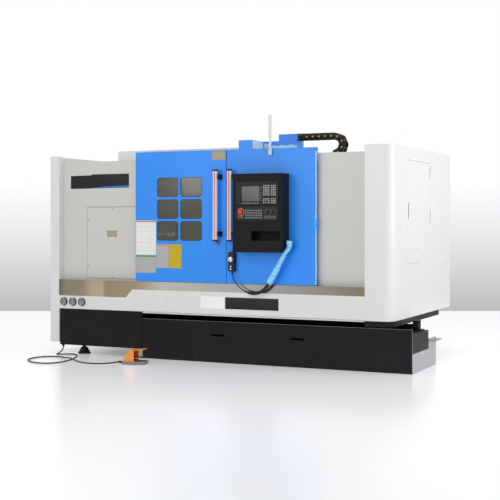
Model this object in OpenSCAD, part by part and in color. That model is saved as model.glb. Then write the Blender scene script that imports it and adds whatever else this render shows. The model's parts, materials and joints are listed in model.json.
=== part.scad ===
// CNC turning lathe with a slant bed, two sliding doors and a full sheet-metal enclosure.
// All sizes are in millimetres. X runs along the spindle, Y to the rear and Z up from the floor.

/* [Enclosure] */
// Width of the left end cover's front
left_cover_w = 112; // [80:1:160]
// Width of the recessed panel left of the doors
left_panel_w = 886; // [840:1:1000]
// Width of the left sliding door
left_door_w = 980; // [900:1:1100]
// Width of the right sliding door
right_door_w = 894; // [860:1:1000]
// Width of the recessed panel right of the doors
right_panel_w = 459; // [430:1:560]
// Width of the right end cover's front
right_cover_w = 259; // [200:1:320]
// Depth from the front plane to the rear panel
machine_depth = 1930; // [1900:1:2100]
// How far the grey front panels stand back
panel_recess = 65; // [60:1:90]
// Sheet thickness of covers, doors and guards
sheet = 3; // [2:0.5:4]
// Corner radius of the left end cover
left_corner_r = 15; // [10:1:50]
// Corner radius of the right end cover
right_corner_r = 105; // [60:1:150]
// Height of the left end cover's top
left_cover_top = 1971; // [1940:1:2000]
// Height of the left end cover's lower edge
left_cover_foot = 113; // [95:1:140]
// Height of the right end cover's top
right_cover_top = 1995; // [1960:1:2030]
// Height of the right end cover's lower edge
right_cover_foot = 445; // [430:1:449]
// How far the roof sheet lies under the doors' top
roof_drop = 75; // [60:1:95]
// How far the right panel stands up over the roof
right_panel_lip = 25; // [10:1:40]
// Height of the raised roof box over the roof sheet
roof_box_h = 100; // [60:1:130]
// Distance of the roof box from the left end
roof_box_x = 710; // [600:1:900]
// Length of the roof box
roof_box_len = 1340; // [1000:1:1370]
// Distance of the roof box from the front plane
roof_box_y = 150; // [120:1:250]

/* [Doors] */
// Depth of the folded door trays
door_depth = 50; // [40:1:55]
// Height of the doors' lower edge
door_foot = 743; // [742:1:748]
// Height of the doors
door_h = 1242; // [1200:1:1260]
// Radius of the door trays' upright edges
door_edge_r = 8; // [4:1:14]
// Width of one window
window_w = 226; // [200:1:240]
// Height of one window
window_h = 182; // [150:1:190]
// Corner radius of a window
window_r = 25; // [10:1:40]
// Bar of door sheet between two windows
window_bar = 26; // [20:1:32]
// Distance of the windows from the left door's left edge
window_x = 245; // [200:1:280]
// Height of the windows' lower edge above the door's foot
window_z = 394; // [300:1:420]
// Thickness of the window pane
pane_t = 8; // [5:1:12]
// Length of a door handle bar
handle_len = 661; // [500:1:700]
// Height of a handle's lower end above the door's foot
handle_z = 394; // [350:1:450]
// Width of a handle bar
handle_w = 42; // [30:1:46]
// Thickness of a handle bar
handle_t = 24; // [16:1:30]
// Finger gap behind a handle bar
handle_gap = 42; // [35:1:60]
// Distance of the left handle from the seam between the doors
left_handle_x = 88; // [70:1:110]
// Distance of the right handle from the seam between the doors
right_handle_x = 58; // [50:1:64]

/* [Front base] */
// Height of the apron's lower edge, which is the top of the machine base
apron_foot = 450; // [448:1:470]
// Height of the polished strip's lower edge
strip_foot = 660; // [640:1:680]
// Height of the polished strip's top
strip_top = 740; // [730:1:740]
// How far the strip's left part steps down
strip_drop = 80; // [50:1:85]
// Distance of the strip's step from the left end
strip_step_x = 888; // [700:1:950]
// Height of the machine base's underside
base_foot = 88; // [80:1:92]
// Width of the black plinth cover
plinth_w = 951; // [900:1:953]
// Diameter of a pressure gauge
gauge_d = 82; // [60:1:95]
// Spacing of the gauges
gauge_pitch = 106; // [98:1:120]
// Height of the gauges
gauge_z = 520; // [510:1:530]

/* [Control station] */
// Distance of the control box from the seam between the doors
box_x = 141; // [130:1:180]
// Width of the control box
box_w = 493; // [480:1:540]
// Height of the control box
box_h = 714; // [690:1:760]
// How far the control box stands out from the door
box_depth = 155; // [140:1:180]
// Distance of the control box's top from the door's top
box_drop = 233; // [215:1:250]
// Width of the operator unit and of the machine panel under it
unit_w = 420; // [410:1:430]
// Height of the operator unit
unit_h = 211; // [205:1:215]
// Height of the machine panel
panel_h = 126; // [122:1:130]
// Width of the pocket in the lower front
pocket_w = 286; // [220:1:300]
// Height of the pocket
pocket_h = 88; // [60:1:100]
// Depth of the pocket
pocket_depth = 110; // [60:1:130]
// Diameter of the emergency stop's mushroom head
estop_d = 50; // [36:1:54]
// Diameter of a push button
button_d = 20; // [14:1:22]
// Diameter of an override knob
knob_d = 34; // [24:1:40]
// Width of the hand pulse unit
pulse_w = 64; // [56:1:72]
// Height of the hand pulse unit
pulse_h = 182; // [160:1:190]
// Depth of the hand pulse unit
pulse_t = 42; // [36:1:64]
// Diameter of the hand pulse wheel
pulse_wheel_d = 52; // [40:1:54]

/* [Door top] */
// Height of the signal lamp with its base
lamp_h = 365; // [300:1:420]
// Diameter of the lamp's light section
lamp_d = 30; // [24:1:40]
// Distance of the lamp from the seam between the doors
lamp_x = 455; // [420:1:480]
// Height of the upright duct over the door
duct_h = 84; // [70:1:95]
// Width of the upright duct
duct_w = 139; // [100:1:150]
// Depth of the upright duct
duct_depth = 400; // [360:1:460]
// Pitch of the drag chain's links
link_pitch = 60; // [50:1:66]
// Height of a link
link_h = 62; // [50:1:64]
// Width of the drag chain
chain_w = 90; // [70:1:100]
// Number of links in the upper run
upper_links = 6; // [4:1:7]
// Bend radius of the drag chain at the middle of its links
chain_bend_r = 78.5; // [76:0.5:82]

/* [Coolant tank] */
// Distance of the tank from the left end
tank_x = 1078; // [1075:1:1090]
// Length of the tank
tank_len = 2687; // [2620:1:2750]
// Depth of the tank
tank_depth = 751; // [700:1:760]
// Height of the tank's walls
tank_h = 171; // [140:1:180]
// Height of the black front of the chip tray
tray_front_h = 384; // [340:1:388]
// Length of a hand slot in the tray's front
hand_slot_w = 140; // [110:1:160]
// Height of a hand slot
hand_slot_h = 20; // [16:1:30]
// Length of the pump box at the right end
pump_box_len = 165; // [150:1:170]
// Height of the pump over its box
pump_h = 92; // [70:1:95]
// Diameter of the pump
pump_d = 70; // [50:1:90]
// How far the pull handle stands out
pull_reach = 62; // [45:1:80]

/* [Bed and spindle] */
// Slope of the bed
bed_tilt = 45; // [43:1:47]
// Distance of the spindle axis from the front plane
spindle_y = 700; // [690:1:710]
// Height of the spindle axis
spindle_z = 1120; // [1110:1:1130]
// Distance of the spindle axis from the bed's sloped face
centre_h = 330; // [320:1:340]
// Width of the bed's sloped face
bed_w = 840; // [800:1:850]
// Distance of the bed from the left end
bed_x = 300; // [290:1:310]
// Length of the bed
bed_len = 2815; // [2790:1:2830]
// Distance between the guideways
way_gauge = 520; // [480:1:540]
// Width of a guideway
way_w = 60; // [50:1:70]
// Height of a guideway
way_h = 55; // [50:1:58]
// Length of the headstock
head_len = 640; // [600:1:650]
// Radius of the headstock round the spindle
head_r = 230; // [200:1:240]
// Diameter of the spindle
spindle_d = 150; // [130:1:170]
// Diameter of the bore through the spindle
spindle_bore = 76; // [60:1:80]
// Diameter of the chuck
chuck_d = 250; // [230:1:270]
// Length of the chuck
chuck_len = 100; // [90:1:110]
// Length of a chuck jaw in front of the chuck
jaw_len = 60; // [40:1:70]
// Width of a chuck jaw
jaw_w = 40; // [34:1:44]
// Diameter of the spindle pulley
pulley_d = 240; // [220:1:260]
// Diameter of the motor pulley
motor_pulley_d = 160; // [140:1:180]
// Thickness of the belt
belt_t = 12; // [8:1:14]
// Diameter of the spindle motor
motor_d = 260; // [220:1:280]

/* [Slides] */
// Distance of the saddle from the left end
saddle_x = 1800; // [1780:1:1820]
// Length of the saddle
saddle_len = 450; // [430:1:470]
// Thickness of the saddle over the guideways
saddle_t = 70; // [60:1:80]
// Thickness of the cross slide
cross_t = 58; // [50:1:64]
// Distance of the turret axis from the spindle axis along the slope
turret_u = 380; // [370:1:390]
// Radius of the turret disc
turret_r = 165; // [150:1:168]
// Thickness of the turret disc
turret_t = 90; // [80:1:95]
// Number of tool stations
stations = 12; // [8:2:12]
// Diameter of the feed screw
screw_d = 32; // [25:1:36]
// Distance of the tailstock from the left end
tail_x = 2750; // [2740:1:2760]
// Length of the tailstock
tail_len = 300; // [260:1:320]
// Diameter of the tailstock quill
quill_d = 100; // [80:1:110]

/* [Foot switch] */
// Length of the foot switch's base
switch_len = 215; // [200:1:230]
// Width of the foot switch's base
switch_w = 150; // [130:1:170]
// Height of the foot switch's hood
switch_h = 140; // [125:1:150]
// Thickness of the foot switch's base
switch_base_t = 30; // [24:1:36]
// Diameter of the foot switch's cord
foot_cord_d = 12; // [8:0.5:12]

/* [Fits] */
// Running gap between guided or shut pieces
slide_gap = 0.3; // [0.2:0.05:0.5]
// Running clearance round a shaft
shaft_gap = 0.05; // [0.02:0.01:0.1]
// Gap round a hinged door
leaf_gap = 2; // [1.5:0.25:3]

/* [Hidden] */
$fn = 64;

// Edges along X, from the left end
x_panel = left_cover_w;
x_door = x_panel + left_panel_w;
x_seam = x_door + left_door_w;
x_door_end = x_seam + right_door_w;
x_cover = x_door_end + right_panel_w;
x_end = x_cover + right_cover_w;
x_tank_end = tank_x + tank_len;

// Edges along Z
door_top = door_foot + door_h;
strip_low = strip_foot - strip_drop;
rail_z = strip_top - 43;
roof_z = door_top - roof_drop;
roof_top = roof_z + sheet;

// Foot switch on the floor in front of the plinth
switch_pos = [1236, -401];
switch_turn = 11.6;
switch_reach = switch_len / 2 * sin(switch_turn) + switch_w / 2 * cos(switch_turn);

// Origin under the middle of the machine with its tank and foot switch
origin_x = (x_tank_end + pull_reach) / 2;
origin_y = (machine_depth + switch_pos[1] - switch_reach) / 2;

// Foot of the perpendicular from the spindle axis to the bed's sloped face
bed_y = spindle_y + centre_h * sin(bed_tilt);
bed_z = spindle_z - centre_h * cos(bed_tilt);
bed_end = bed_x + bed_len;
bed_back = 1450;
head_x = bed_x + 20;
head_end = head_x + head_len;
ways_x = head_end + 40;
bulkhead_x = head_end + 22;
nose_len = 40;
chuck_x = head_end + nose_len;
chuck_face = chuck_x + chuck_len;
chamber_back = 1240;
chamber_end = x_cover - 28;

// Moves the machine so that the origin is on the floor under its middle
module placed() {
    translate([-origin_x, -origin_y, 0]) children();
}

// Local frame on the bed: X along the spindle, Y up the slope, Z square off the slope
module on_slope() {
    translate([0, bed_y, bed_z]) rotate([bed_tilt, 0, 0]) children();
}

// Block between low and high values on each axis
module block(x, y, z) {
    translate([x[0], y[0], z[0]]) cube([x[1] - x[0], y[1] - y[0], z[1] - z[0]]);
}

// Round bar along X, Y or Z from a start point
module bar_x(start, d, len) {
    translate(start) rotate([0, 90, 0]) cylinder(d = d, h = len);
}
module bar_y(start, d, len) {
    translate(start) rotate([-90, 0, 0]) cylinder(d = d, h = len);
}
module bar_z(start, d, len) {
    translate(start) cylinder(d = d, h = len);
}

// Rectangle with round corners, from its lower left corner
module round_rect(w, h, r) {
    translate([r, 0]) square([w - 2 * r, h]);
    translate([0, r]) square([w, h - 2 * r]);
    for (x = [r, w - r])
        for (y = [r, h - r])
            translate([x, y]) circle(r);
}

// Upright plate facing the front, with round corners; x and z are its low and high edges
module front_plate(x, z, y, t, r) {
    translate([x[0], y + t, z[0]])
        rotate([90, 0, 0])
            linear_extrude(t) round_rect(x[1] - x[0], z[1] - z[0], r);
}

// Plan of a body with one round front corner at its left
module corner_plan(w, d, r) {
    translate([r, 0]) square([w - r, d]);
    translate([0, r]) square([w, d - r]);
    translate([r, r]) circle(r);
}

// Plan of an end cover: front, round corner, side, rear flange and a short inner return
module cover_plan(w, d, r) {
    difference() {
        corner_plan(w, d, r);
        translate([sheet, sheet]) corner_plan(w - 2 * sheet, d - 2 * sheet, r - sheet);
        translate([w - 2 * sheet, panel_recess]) square([3 * sheet, d - panel_recess - sheet]);
    }
}

// Tube swept along a list of points with one radius for each, as a closed mesh
function unit(v) = v / norm(v);
function tangent(p, i) = unit(p[min(i + 1, len(p) - 1)] - p[max(i - 1, 0)]);
function level_side(t) = unit(abs(t[2]) > 0.99 ? cross([0, 1, 0], t) : cross(t, [0, 0, 1]));
function ring(c, t, r, n, s) = [for (k = [0 : n - 1])
    c + r * (cos(360 * k / n) * s + sin(360 * k / n) * cross(s, t))];
function smooth_at(a, b, c, d, t) = 0.5 * (2 * b + (c - a) * t
    + (2 * a - 5 * b + 4 * c - d) * t * t + (3 * b - a - 3 * c + d) * t * t * t);
function smooth_route(p, parts) = concat([for (i = [0 : len(p) - 2])
    for (k = [0 : parts - 1])
        smooth_at(p[max(i - 1, 0)], p[i], p[i + 1], p[min(i + 2, len(p) - 1)], k / parts)],
    [p[len(p) - 1]]);
module swept_tube(p, r, n, side) {
    points = [for (i = [0 : len(p) - 1]) each ring(p[i], tangent(p, i), r[i], n, side(tangent(p, i)))];
    last = len(p) - 1;
    walls = [for (i = [0 : last - 1])
        for (k = [0 : n - 1])
            [i * n + k, i * n + (k + 1) % n, (i + 1) * n + (k + 1) % n, (i + 1) * n + k]];
    first_cap = [for (k = [0 : n - 1]) n - 1 - k];
    last_cap = [for (k = [0 : n - 1]) last * n + k];
    polyhedron(points = points, faces = concat(walls, [first_cap, last_cap]));
}

// Machine base: a block under the headstock and a narrower one behind the tank
base_x = x_panel + 18;
base_front = 10;
base_split = tank_x - 13;
base_overhang = 15;
base_end = bed_end - base_overhang;
base_back = machine_depth - 80;
cord_gland_inset = 15;
cord_gland_pos = [base_x + cord_gland_inset, base_front + cord_gland_inset];
cord_gland_len = 18;
module base_frame() {
    color("#2b2d2f") placed() {
        block([base_x, base_split], [base_front, base_back], [base_foot, apron_foot]);
        block([base_split, base_end], [tank_depth + slide_gap, base_back], [base_foot, apron_foot]);
        bar_z([cord_gland_pos[0], cord_gland_pos[1], base_foot - cord_gland_len],
            2.2 * foot_cord_d, cord_gland_len);
    }
}

// Levelling feet: a cone on the floor and a jack screw up to the base
foot_cone_h = 62;
foot_base_d = 130;
foot_neck_d = 62;
foot_screw_d = 36;
foot_inset = 215;
module levelling_foot(x, y) {
    translate([x, y, 0]) cylinder(d1 = foot_base_d, d2 = foot_neck_d, h = foot_cone_h);
    bar_z([x, y, foot_cone_h], foot_screw_d, base_foot - foot_cone_h);
}
module levelling_feet() {
    color("#3a3c3e") placed() {
        levelling_foot(base_x + foot_inset, base_front + 90);
        for (x = [base_x + foot_inset, (base_x + base_end) / 2, base_end - foot_inset])
            levelling_foot(x, base_back - 100);
        for (x = [(base_x + base_end) / 2, base_end - foot_inset])
            levelling_foot(x, tank_depth + 100);
    }
}

// Bed: a slanted casting with two guideways and the bearings of the feed screw
screw_v = 36;
bearing_len = 40;
bed_half = bed_w / 2;
bed_low = [bed_y - bed_half * cos(bed_tilt), bed_z - bed_half * sin(bed_tilt)];
bed_high = [bed_y + bed_half * cos(bed_tilt), bed_z + bed_half * sin(bed_tilt)];
module bed_section(grow) {
    polygon([[bed_low[0] - grow, apron_foot - grow], [bed_back + grow, apron_foot - grow],
        [bed_back + grow, bed_high[1] + grow], [bed_high[0] - grow / 2, bed_high[1] + grow],
        [bed_low[0] - grow, bed_low[1] + grow / 2]]);
}
module along_x(x0, len) {
    translate([x0, 0, 0]) rotate([90, 0, 90]) linear_extrude(len) children();
}
module slant_bed() {
    color("#5f6468") placed() {
        along_x(bed_x, bed_len) bed_section(0);
        on_slope() {
            for (u = [-way_gauge / 2, way_gauge / 2])
                block([ways_x, bed_end - 5], [u - way_w / 2, u + way_w / 2], [0, way_h]);
            for (x = [ways_x, bed_end - bearing_len])
                difference() {
                    block([x, x + bearing_len], [-45, 45], [0, 2 * screw_v]);
                    bar_x([x - 1, 0, screw_v], screw_d + 2 * shaft_gap, bearing_len + 2);
                }
        }
    }
}

// Headstock: a casting on the bed, round over the spindle, with a front bearing cap
cap_d = spindle_d + 90;
cap_t = 14;
module headstock() {
    color("#8a9095") placed() on_slope() difference() {
        union() {
            block([head_x, head_end], [-head_r, head_r], [0, centre_h]);
            bar_x([head_x, 0, centre_h], 2 * head_r, head_len);
            bar_x([head_end, 0, centre_h], cap_d, cap_t);
        }
        bar_x([head_x - 1, 0, centre_h], spindle_d + 2 * shaft_gap, head_len + cap_t + 2);
    }
}

// Spindle motor on the base, and the feed motor on the end of the bed
motor_y = 400;
motor_z = apron_foot + motor_d / 2 + 60;
motor_len = 350;
motor_foot_w = 200;
pulley_w = 80;
pulley_x = bed_x - 20 - pulley_w;
motor_x = bed_x + 10;
feed_motor_w = 130;
feed_motor_len = 170;
module drive_motors() {
    color("#4a4e52") placed() {
        bar_x([motor_x, motor_y, motor_z], motor_d, motor_len);
        block([motor_x + 40, motor_x + motor_len - 40],
            [motor_y - motor_foot_w / 2, motor_y + motor_foot_w / 2], [apron_foot, motor_z - motor_d / 4]);
        on_slope() block([bed_end, bed_end + feed_motor_len],
            [-feed_motor_w / 2, feed_motor_w / 2],
            [screw_v - feed_motor_w / 2, screw_v + feed_motor_w / 2]);
    }
}

// Belt round both pulleys: two circles joined along their outer tangents
belt_run = [motor_y - spindle_y, motor_z - spindle_z];
belt_dir = atan2(belt_run[1], belt_run[0]);
belt_lean = acos((pulley_d - motor_pulley_d) / 2 / norm(belt_run));
belt_steps = 24;
function arc_points(c, r, from, to, steps) = [for (i = [0 : steps])
    c + r * [cos(from + (to - from) * i / steps), sin(from + (to - from) * i / steps)]];
module belt_plan(grow) {
    big = pulley_d / 2 + slide_gap + grow;
    small = motor_pulley_d / 2 + slide_gap + grow;
    polygon(concat(
        arc_points([spindle_y, spindle_z], big / cos(3.75), belt_dir + belt_lean,
            belt_dir - belt_lean + 360, belt_steps),
        arc_points([motor_y, motor_z], small / cos(3.75), belt_dir - belt_lean,
            belt_dir + belt_lean, belt_steps)));
}
module drive_belt() {
    color("#1d1d1f") placed() along_x(pulley_x + 5, pulley_w - 10) difference() {
        belt_plan(belt_t);
        belt_plan(0);
    }
}

// End covers: folded sheets with a round front corner
module left_end_cover() {
    color("#ebeef0") placed() translate([0, 0, left_cover_foot])
        linear_extrude(left_cover_top - left_cover_foot)
            cover_plan(left_cover_w, machine_depth, left_corner_r);
}

// Access door in the right side: its edges along Y and Z, and the cut lower rear corner
side_y = [413, 1184];
side_z = [939, 1876];
side_cut_y = 794;
side_cut_z = 1216;
hinge_d = 10;
knuckle_len = 60;
side_axis = [x_end + hinge_d / 2, side_y[1] + leaf_gap / 2];
side_hinge_z = [side_cut_z + 80, side_z[1] - 140];
module side_outline(grow) {
    polygon([[side_y[0] - grow, side_z[0] - grow], [side_cut_y + grow / 2, side_z[0] - grow],
        [side_y[1] + grow, side_cut_z - grow / 2], [side_y[1] + grow, side_z[1] + grow],
        [side_y[0] - grow, side_z[1] + grow]]);
}
module right_end_cover() {
    color("#ebeef0") placed() {
        difference() {
            translate([x_end, 0, right_cover_foot]) mirror([1, 0, 0])
                linear_extrude(right_cover_top - right_cover_foot)
                    cover_plan(right_cover_w, machine_depth, right_corner_r);
            along_x(x_end - 2 * sheet, 3 * sheet) side_outline(leaf_gap);
        }
        for (z = side_hinge_z) {
            bar_z([side_axis[0], side_axis[1], z + knuckle_len + slide_gap], hinge_d, knuckle_len);
            block([x_end, x_end + hinge_d / 2], [side_axis[1] + 1.5, side_axis[1] + 30],
                [z + knuckle_len + slide_gap, z + 2 * knuckle_len]);
        }
    }
}
slot_pull = [18, 145];
slot_pull_y = side_y[0] + 55;
slot_pull_z = 1341;
module side_door() {
    color("#e6e9eb") placed() {
        difference() {
            along_x(x_end - sheet, sheet) side_outline(0);
            block([x_end - 2 * sheet, x_end + sheet], [slot_pull_y - slot_pull[0] / 2,
                slot_pull_y + slot_pull[0] / 2], [slot_pull_z, slot_pull_z + slot_pull[1]]);
        }
        for (z = side_hinge_z) {
            bar_z([side_axis[0], side_axis[1], z], hinge_d, knuckle_len);
            block([x_end, x_end + hinge_d / 2], [side_axis[1] - 30, side_axis[1] - 1],
                [z, z + knuckle_len]);
        }
    }
}

// Recessed front panels, with an opening behind the access cover
access_x = x_panel + 293;
access_w = 585;
access_z = door_foot + 15;
access_h = 702;
access_lap = 20;
panel_flange = 40;
shelf_top = rail_z + sheet;
panel_front = [panel_recess, panel_recess + sheet];
module front_panels() {
    color("#c8c8c4") placed() {
        difference() {
            block([x_panel - sheet, x_door + sheet], panel_front, [shelf_top, roof_top]);
            block([access_x + access_lap, access_x + access_w - access_lap],
                [panel_recess - 1, panel_recess + 2 * sheet],
                [access_z + access_lap, access_z + access_h - access_lap]);
        }
        block([x_door, x_door + sheet], [panel_recess, panel_recess + panel_flange],
            [shelf_top, roof_z]);
        block([x_door_end - sheet, x_cover + sheet], panel_front, [shelf_top, roof_top + right_panel_lip]);
        block([x_door_end - sheet, x_door_end], [panel_recess, panel_recess + panel_flange],
            [shelf_top, roof_z]);
    }
}
module access_cover() {
    color("#cfcfcb") placed() front_plate([access_x, access_x + access_w],
        [access_z, access_z + access_h], panel_recess - sheet, sheet, 8);
}

// Roof sheet with a header over the doors, the raised roof box and the rear panel
header_h = 70;
header_depth = 40;
box_chamfer_roof = 12;
cabinet_x = x_panel + 60;
cabinet_w = 850;
cabinet_top = roof_z - 110;
cabinet_front = bed_back + 30;
cabinet_door_lap = 25;
leaf_x = [cabinet_x + cabinet_door_lap, cabinet_x + cabinet_w - cabinet_door_lap];
leaf_z = [apron_foot + 110, cabinet_top - cabinet_door_lap];
rear = [machine_depth - sheet, machine_depth];
roof_front = panel_recess + sheet;
module roof_box_section(inset) {
    x1 = roof_box_x + roof_box_len;
    z1 = roof_top + roof_box_h;
    polygon([[roof_box_x + inset, roof_top], [x1 - inset, roof_top], [x1 - inset, z1 - inset],
        [roof_box_x + box_chamfer_roof, z1 - inset], [roof_box_x + inset, z1 - box_chamfer_roof]]);
}
module along_y(y0, len) {
    translate([0, y0 + len, 0]) rotate([90, 0, 0]) linear_extrude(len) children();
}
leaf_axis = [leaf_x[0] - leaf_gap / 2, machine_depth + hinge_d / 2];
leaf_hinge_z = [leaf_z[0] + 120, leaf_z[1] - 240];
module roof_and_rear() {
    color("#f0f2f3") placed() {
        block([sheet, x_cover], [roof_front, rear[0]], [roof_z, roof_top]);
        block([x_cover, x_end - sheet], [right_corner_r, rear[0]], [roof_z, roof_top]);
        difference() {
            block([x_door + sheet, x_door_end - sheet], [panel_recess, panel_recess + header_depth],
                [roof_z - header_h, roof_z]);
            block([x_door, x_door_end], [panel_recess + sheet, panel_recess + 2 * header_depth],
                [roof_z - header_h - 1, roof_z - sheet]);
        }
        difference() {
            along_y(roof_box_y, rear[0] - roof_box_y) roof_box_section(0);
            along_y(roof_box_y + sheet, rear[0] - roof_box_y - 2 * sheet) roof_box_section(sheet);
        }
        difference() {
            block([x_panel, x_cover], rear, [apron_foot, roof_top]);
            block([leaf_x[0] - leaf_gap, leaf_x[1] + leaf_gap], [rear[0] - 1, rear[1] + 1],
                [leaf_z[0] - leaf_gap, leaf_z[1] + leaf_gap]);
        }
        for (z = leaf_hinge_z) {
            bar_z([leaf_axis[0], leaf_axis[1], z + knuckle_len + slide_gap], hinge_d, knuckle_len);
            block([leaf_axis[0] - 30, leaf_axis[0] - 1.5], [rear[1], rear[1] + hinge_d / 2],
                [z + knuckle_len + slide_gap, z + 2 * knuckle_len]);
        }
    }
}
module cabinet_door() {
    color("#e6e9eb") placed() {
        block(leaf_x, rear, leaf_z);
        for (z = leaf_hinge_z) {
            bar_z([leaf_axis[0], leaf_axis[1], z], hinge_d, knuckle_len);
            block([leaf_axis[0] + 1, leaf_axis[0] + 30], [rear[1], rear[1] + hinge_d / 2],
                [z, z + knuckle_len]);
        }
    }
}

// Electrical cabinet behind the headstock: an open box with a mounting plate and its modules
module_pitch = 130;
module_h = 320;
module_depth = 0.45 * (rear[0] - cabinet_front);
module electrical_cabinet() {
    color("#d8dadb") placed() {
        difference() {
            block([cabinet_x, cabinet_x + cabinet_w], [cabinet_front, rear[0]], [apron_foot, cabinet_top]);
            block([cabinet_x + sheet, cabinet_x + cabinet_w - sheet], [cabinet_front + sheet, rear[1]],
                [apron_foot + sheet, cabinet_top - sheet]);
        }
        for (x = [cabinet_x + 90 : module_pitch : cabinet_x + cabinet_w - module_pitch - 40])
            block([x, x + module_pitch - 20], [cabinet_front + sheet, cabinet_front + module_depth],
                [cabinet_top - module_h - 200, cabinet_top - 200]);
    }
}

// Polished strip on the front, with a diagonal step at the left
strip_t = 2;
module trim_strip() {
    color("#b9bcc0") placed() along_y(-strip_t, strip_t)
        polygon([[x_panel, strip_low], [strip_step_x, strip_low], [strip_step_x + 75, strip_foot],
            [x_cover, strip_foot], [x_cover, strip_top], [x_panel, strip_top]]);
}

// Apron: front sheet with gauge holes, a shelf for the door rail and a folded lower lip
gauge_x = x_panel + 62;
gauge_neck_d = gauge_d - 22;
lip_depth = 40;
chute_h = 120;
module apron() {
    color("#e9ecee") placed() {
        difference() {
            block([x_panel, x_cover], [0, sheet], [apron_foot, strip_top]);
            for (i = [0 : 2])
                bar_y([gauge_x + i * gauge_pitch, -1, gauge_z], gauge_neck_d + 2 * slide_gap, sheet + 2);
        }
        block([x_panel, x_cover], [sheet, panel_recess + sheet], [rail_z, shelf_top]);
        block([x_panel, x_cover], [sheet, lip_depth], [apron_foot, apron_foot + sheet]);
        block([x_door, x_cover], [panel_recess, panel_recess + sheet], [rail_z - chute_h, rail_z]);
    }
}

// Black covers round the machine's foot: the plinth at the left and the skirt at the right corner
plinth_front = 4;
skirt_h = 50;
skirt_len = 1500;
module plinth_covers() {
    color("#26282a") placed() {
        x0 = x_panel + 9;
        difference() {
            block([x0, x0 + plinth_w], [plinth_front, plinth_front + sheet], [base_foot, apron_foot]);
            block([x0 + 73, x0 + 83], [0, base_front], [base_foot + 163, base_foot + 228]);
        }
        block([x0, x0 + plinth_w], [plinth_front, base_front], [apron_foot - sheet, apron_foot]);
        block([x0, x0 + sheet], [plinth_front, 400], [base_foot, apron_foot]);
        translate([x_end - 1, 1, right_cover_foot - skirt_h]) mirror([1, 0, 0])
            linear_extrude(skirt_h) difference() {
                corner_plan(right_cover_w - 1, skirt_len, right_corner_r - 1);
                translate([sheet, sheet])
                    corner_plan(right_cover_w, skirt_len, right_corner_r - 1 - sheet);
            }
    }
}

// Pressure gauges: bezel with a raised rim, and a neck through the apron
gauge_t = 14;
module pressure_gauges() {
    color("#c9ccd0") placed() for (i = [0 : 2])
        translate([gauge_x + i * gauge_pitch, 0, gauge_z]) rotate([90, 0, 0]) {
            translate([0, 0, -30]) cylinder(d = gauge_neck_d, h = 30);
            rotate_extrude() polygon([[0, 0], [gauge_d / 2, 0], [gauge_d / 2, gauge_t - 3],
                [gauge_d / 2 - 4, gauge_t], [gauge_d / 2 - 8, gauge_t], [gauge_d / 2 - 9, gauge_t - 4],
                [0, gauge_t - 4]]);
        }
}

// Door rails: a flat rail on the apron's shelf and a second one on the roof's header
rail_y = [22, 30];
rail_h = 35;
top_rail_y = [53, panel_recess];
top_rail_z = [roof_z - 52, roof_z - 22];
module door_rails() {
    color("#9a9da0") placed() {
        block([x_panel, x_cover], rail_y, [shelf_top, shelf_top + rail_h]);
        block([x_door + sheet, x_door_end - sheet], top_rail_y, top_rail_z);
    }
}

// Inner guards of the work space: two bulkheads, and the rear wall that is screwed on behind them
guard_gap = 2;
nose_d = 200;
module splash_guard() {
    color("#b4b8bb") placed() {
        difference() {
            block([bulkhead_x, bulkhead_x + sheet], [roof_front, chamber_back], [apron_foot, roof_z]);
            along_x(bulkhead_x - 1, sheet + 2) bed_section(guard_gap);
            bar_x([bulkhead_x - 1, spindle_y, spindle_z], nose_d + 20, sheet + 2);
        }
        block([chamber_end, chamber_end + sheet], [roof_front, chamber_back], [apron_foot, roof_z]);
        block([bulkhead_x, chamber_end + sheet], [chamber_back + slide_gap, chamber_back + slide_gap + sheet],
            [bed_high[1] + slide_gap, roof_z]);
    }
}

// Foot switch: base with ears and pedal bearings, open hood, and the pedal between
hood_t = 3.5;
pedal_w = switch_w - 50;
pedal_t = 6;
pedal_axis = [-switch_len / 2 + 50, switch_base_t + 26];
pedal_pin_d = 8;
lug_t = 8;
switch_gland_len = 20;
switch_gland_z = switch_base_t / 2;
hood_w = switch_w - 10;
module at_switch() {
    placed() translate([switch_pos[0], switch_pos[1], 0]) rotate([0, 0, switch_turn]) children();
}
module foot_switch_base() {
    color("#6a6c6e") at_switch() {
        translate([-switch_len / 2, -switch_w / 2, 0]) linear_extrude(switch_base_t)
            round_rect(switch_len, switch_w, 12);
        translate([-25, -switch_w / 2 - 18, 0]) linear_extrude(switch_base_t / 3)
            round_rect(50, switch_w + 36, 12);
        bar_x([-switch_len / 2 - switch_gland_len, 0, switch_gland_z], 2 * foot_cord_d,
            switch_gland_len + 5);
        for (y = [-pedal_w / 2 - slide_gap - lug_t, pedal_w / 2 + slide_gap])
            difference() {
                block([pedal_axis[0] - 10, pedal_axis[0] + 10], [y, y + lug_t],
                    [switch_base_t, pedal_axis[1] + 10]);
                bar_y([pedal_axis[0], y - 1, pedal_axis[1]], pedal_pin_d + 2 * shaft_gap, lug_t + 2);
            }
    }
}
hood_back = -switch_len / 2 + 4;
hood_ridge = [-switch_len / 2 + 75.5, switch_h - 7];
hood_cheek = switch_len / 2 - 97;
visor_end = switch_len / 2 - 8;
hood_slope = atan2(hood_ridge[1] - switch_base_t, hood_ridge[0] - hood_back);
visor_rise = atan2(switch_h - hood_ridge[1], visor_end - hood_ridge[0]);
function under_visor(x) = hood_ridge[1] - hood_t + (x - hood_ridge[0]) * tan(visor_rise);
function under_slope(x) = switch_base_t + (x - hood_back) * tan(hood_slope) - hood_t / cos(hood_slope);
module hood_section() {
    polygon([[hood_back, switch_base_t], hood_ridge, [visor_end, switch_h],
        [visor_end, under_visor(visor_end)], [hood_cheek, under_visor(hood_cheek)],
        [hood_cheek, switch_base_t]]);
}
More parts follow.
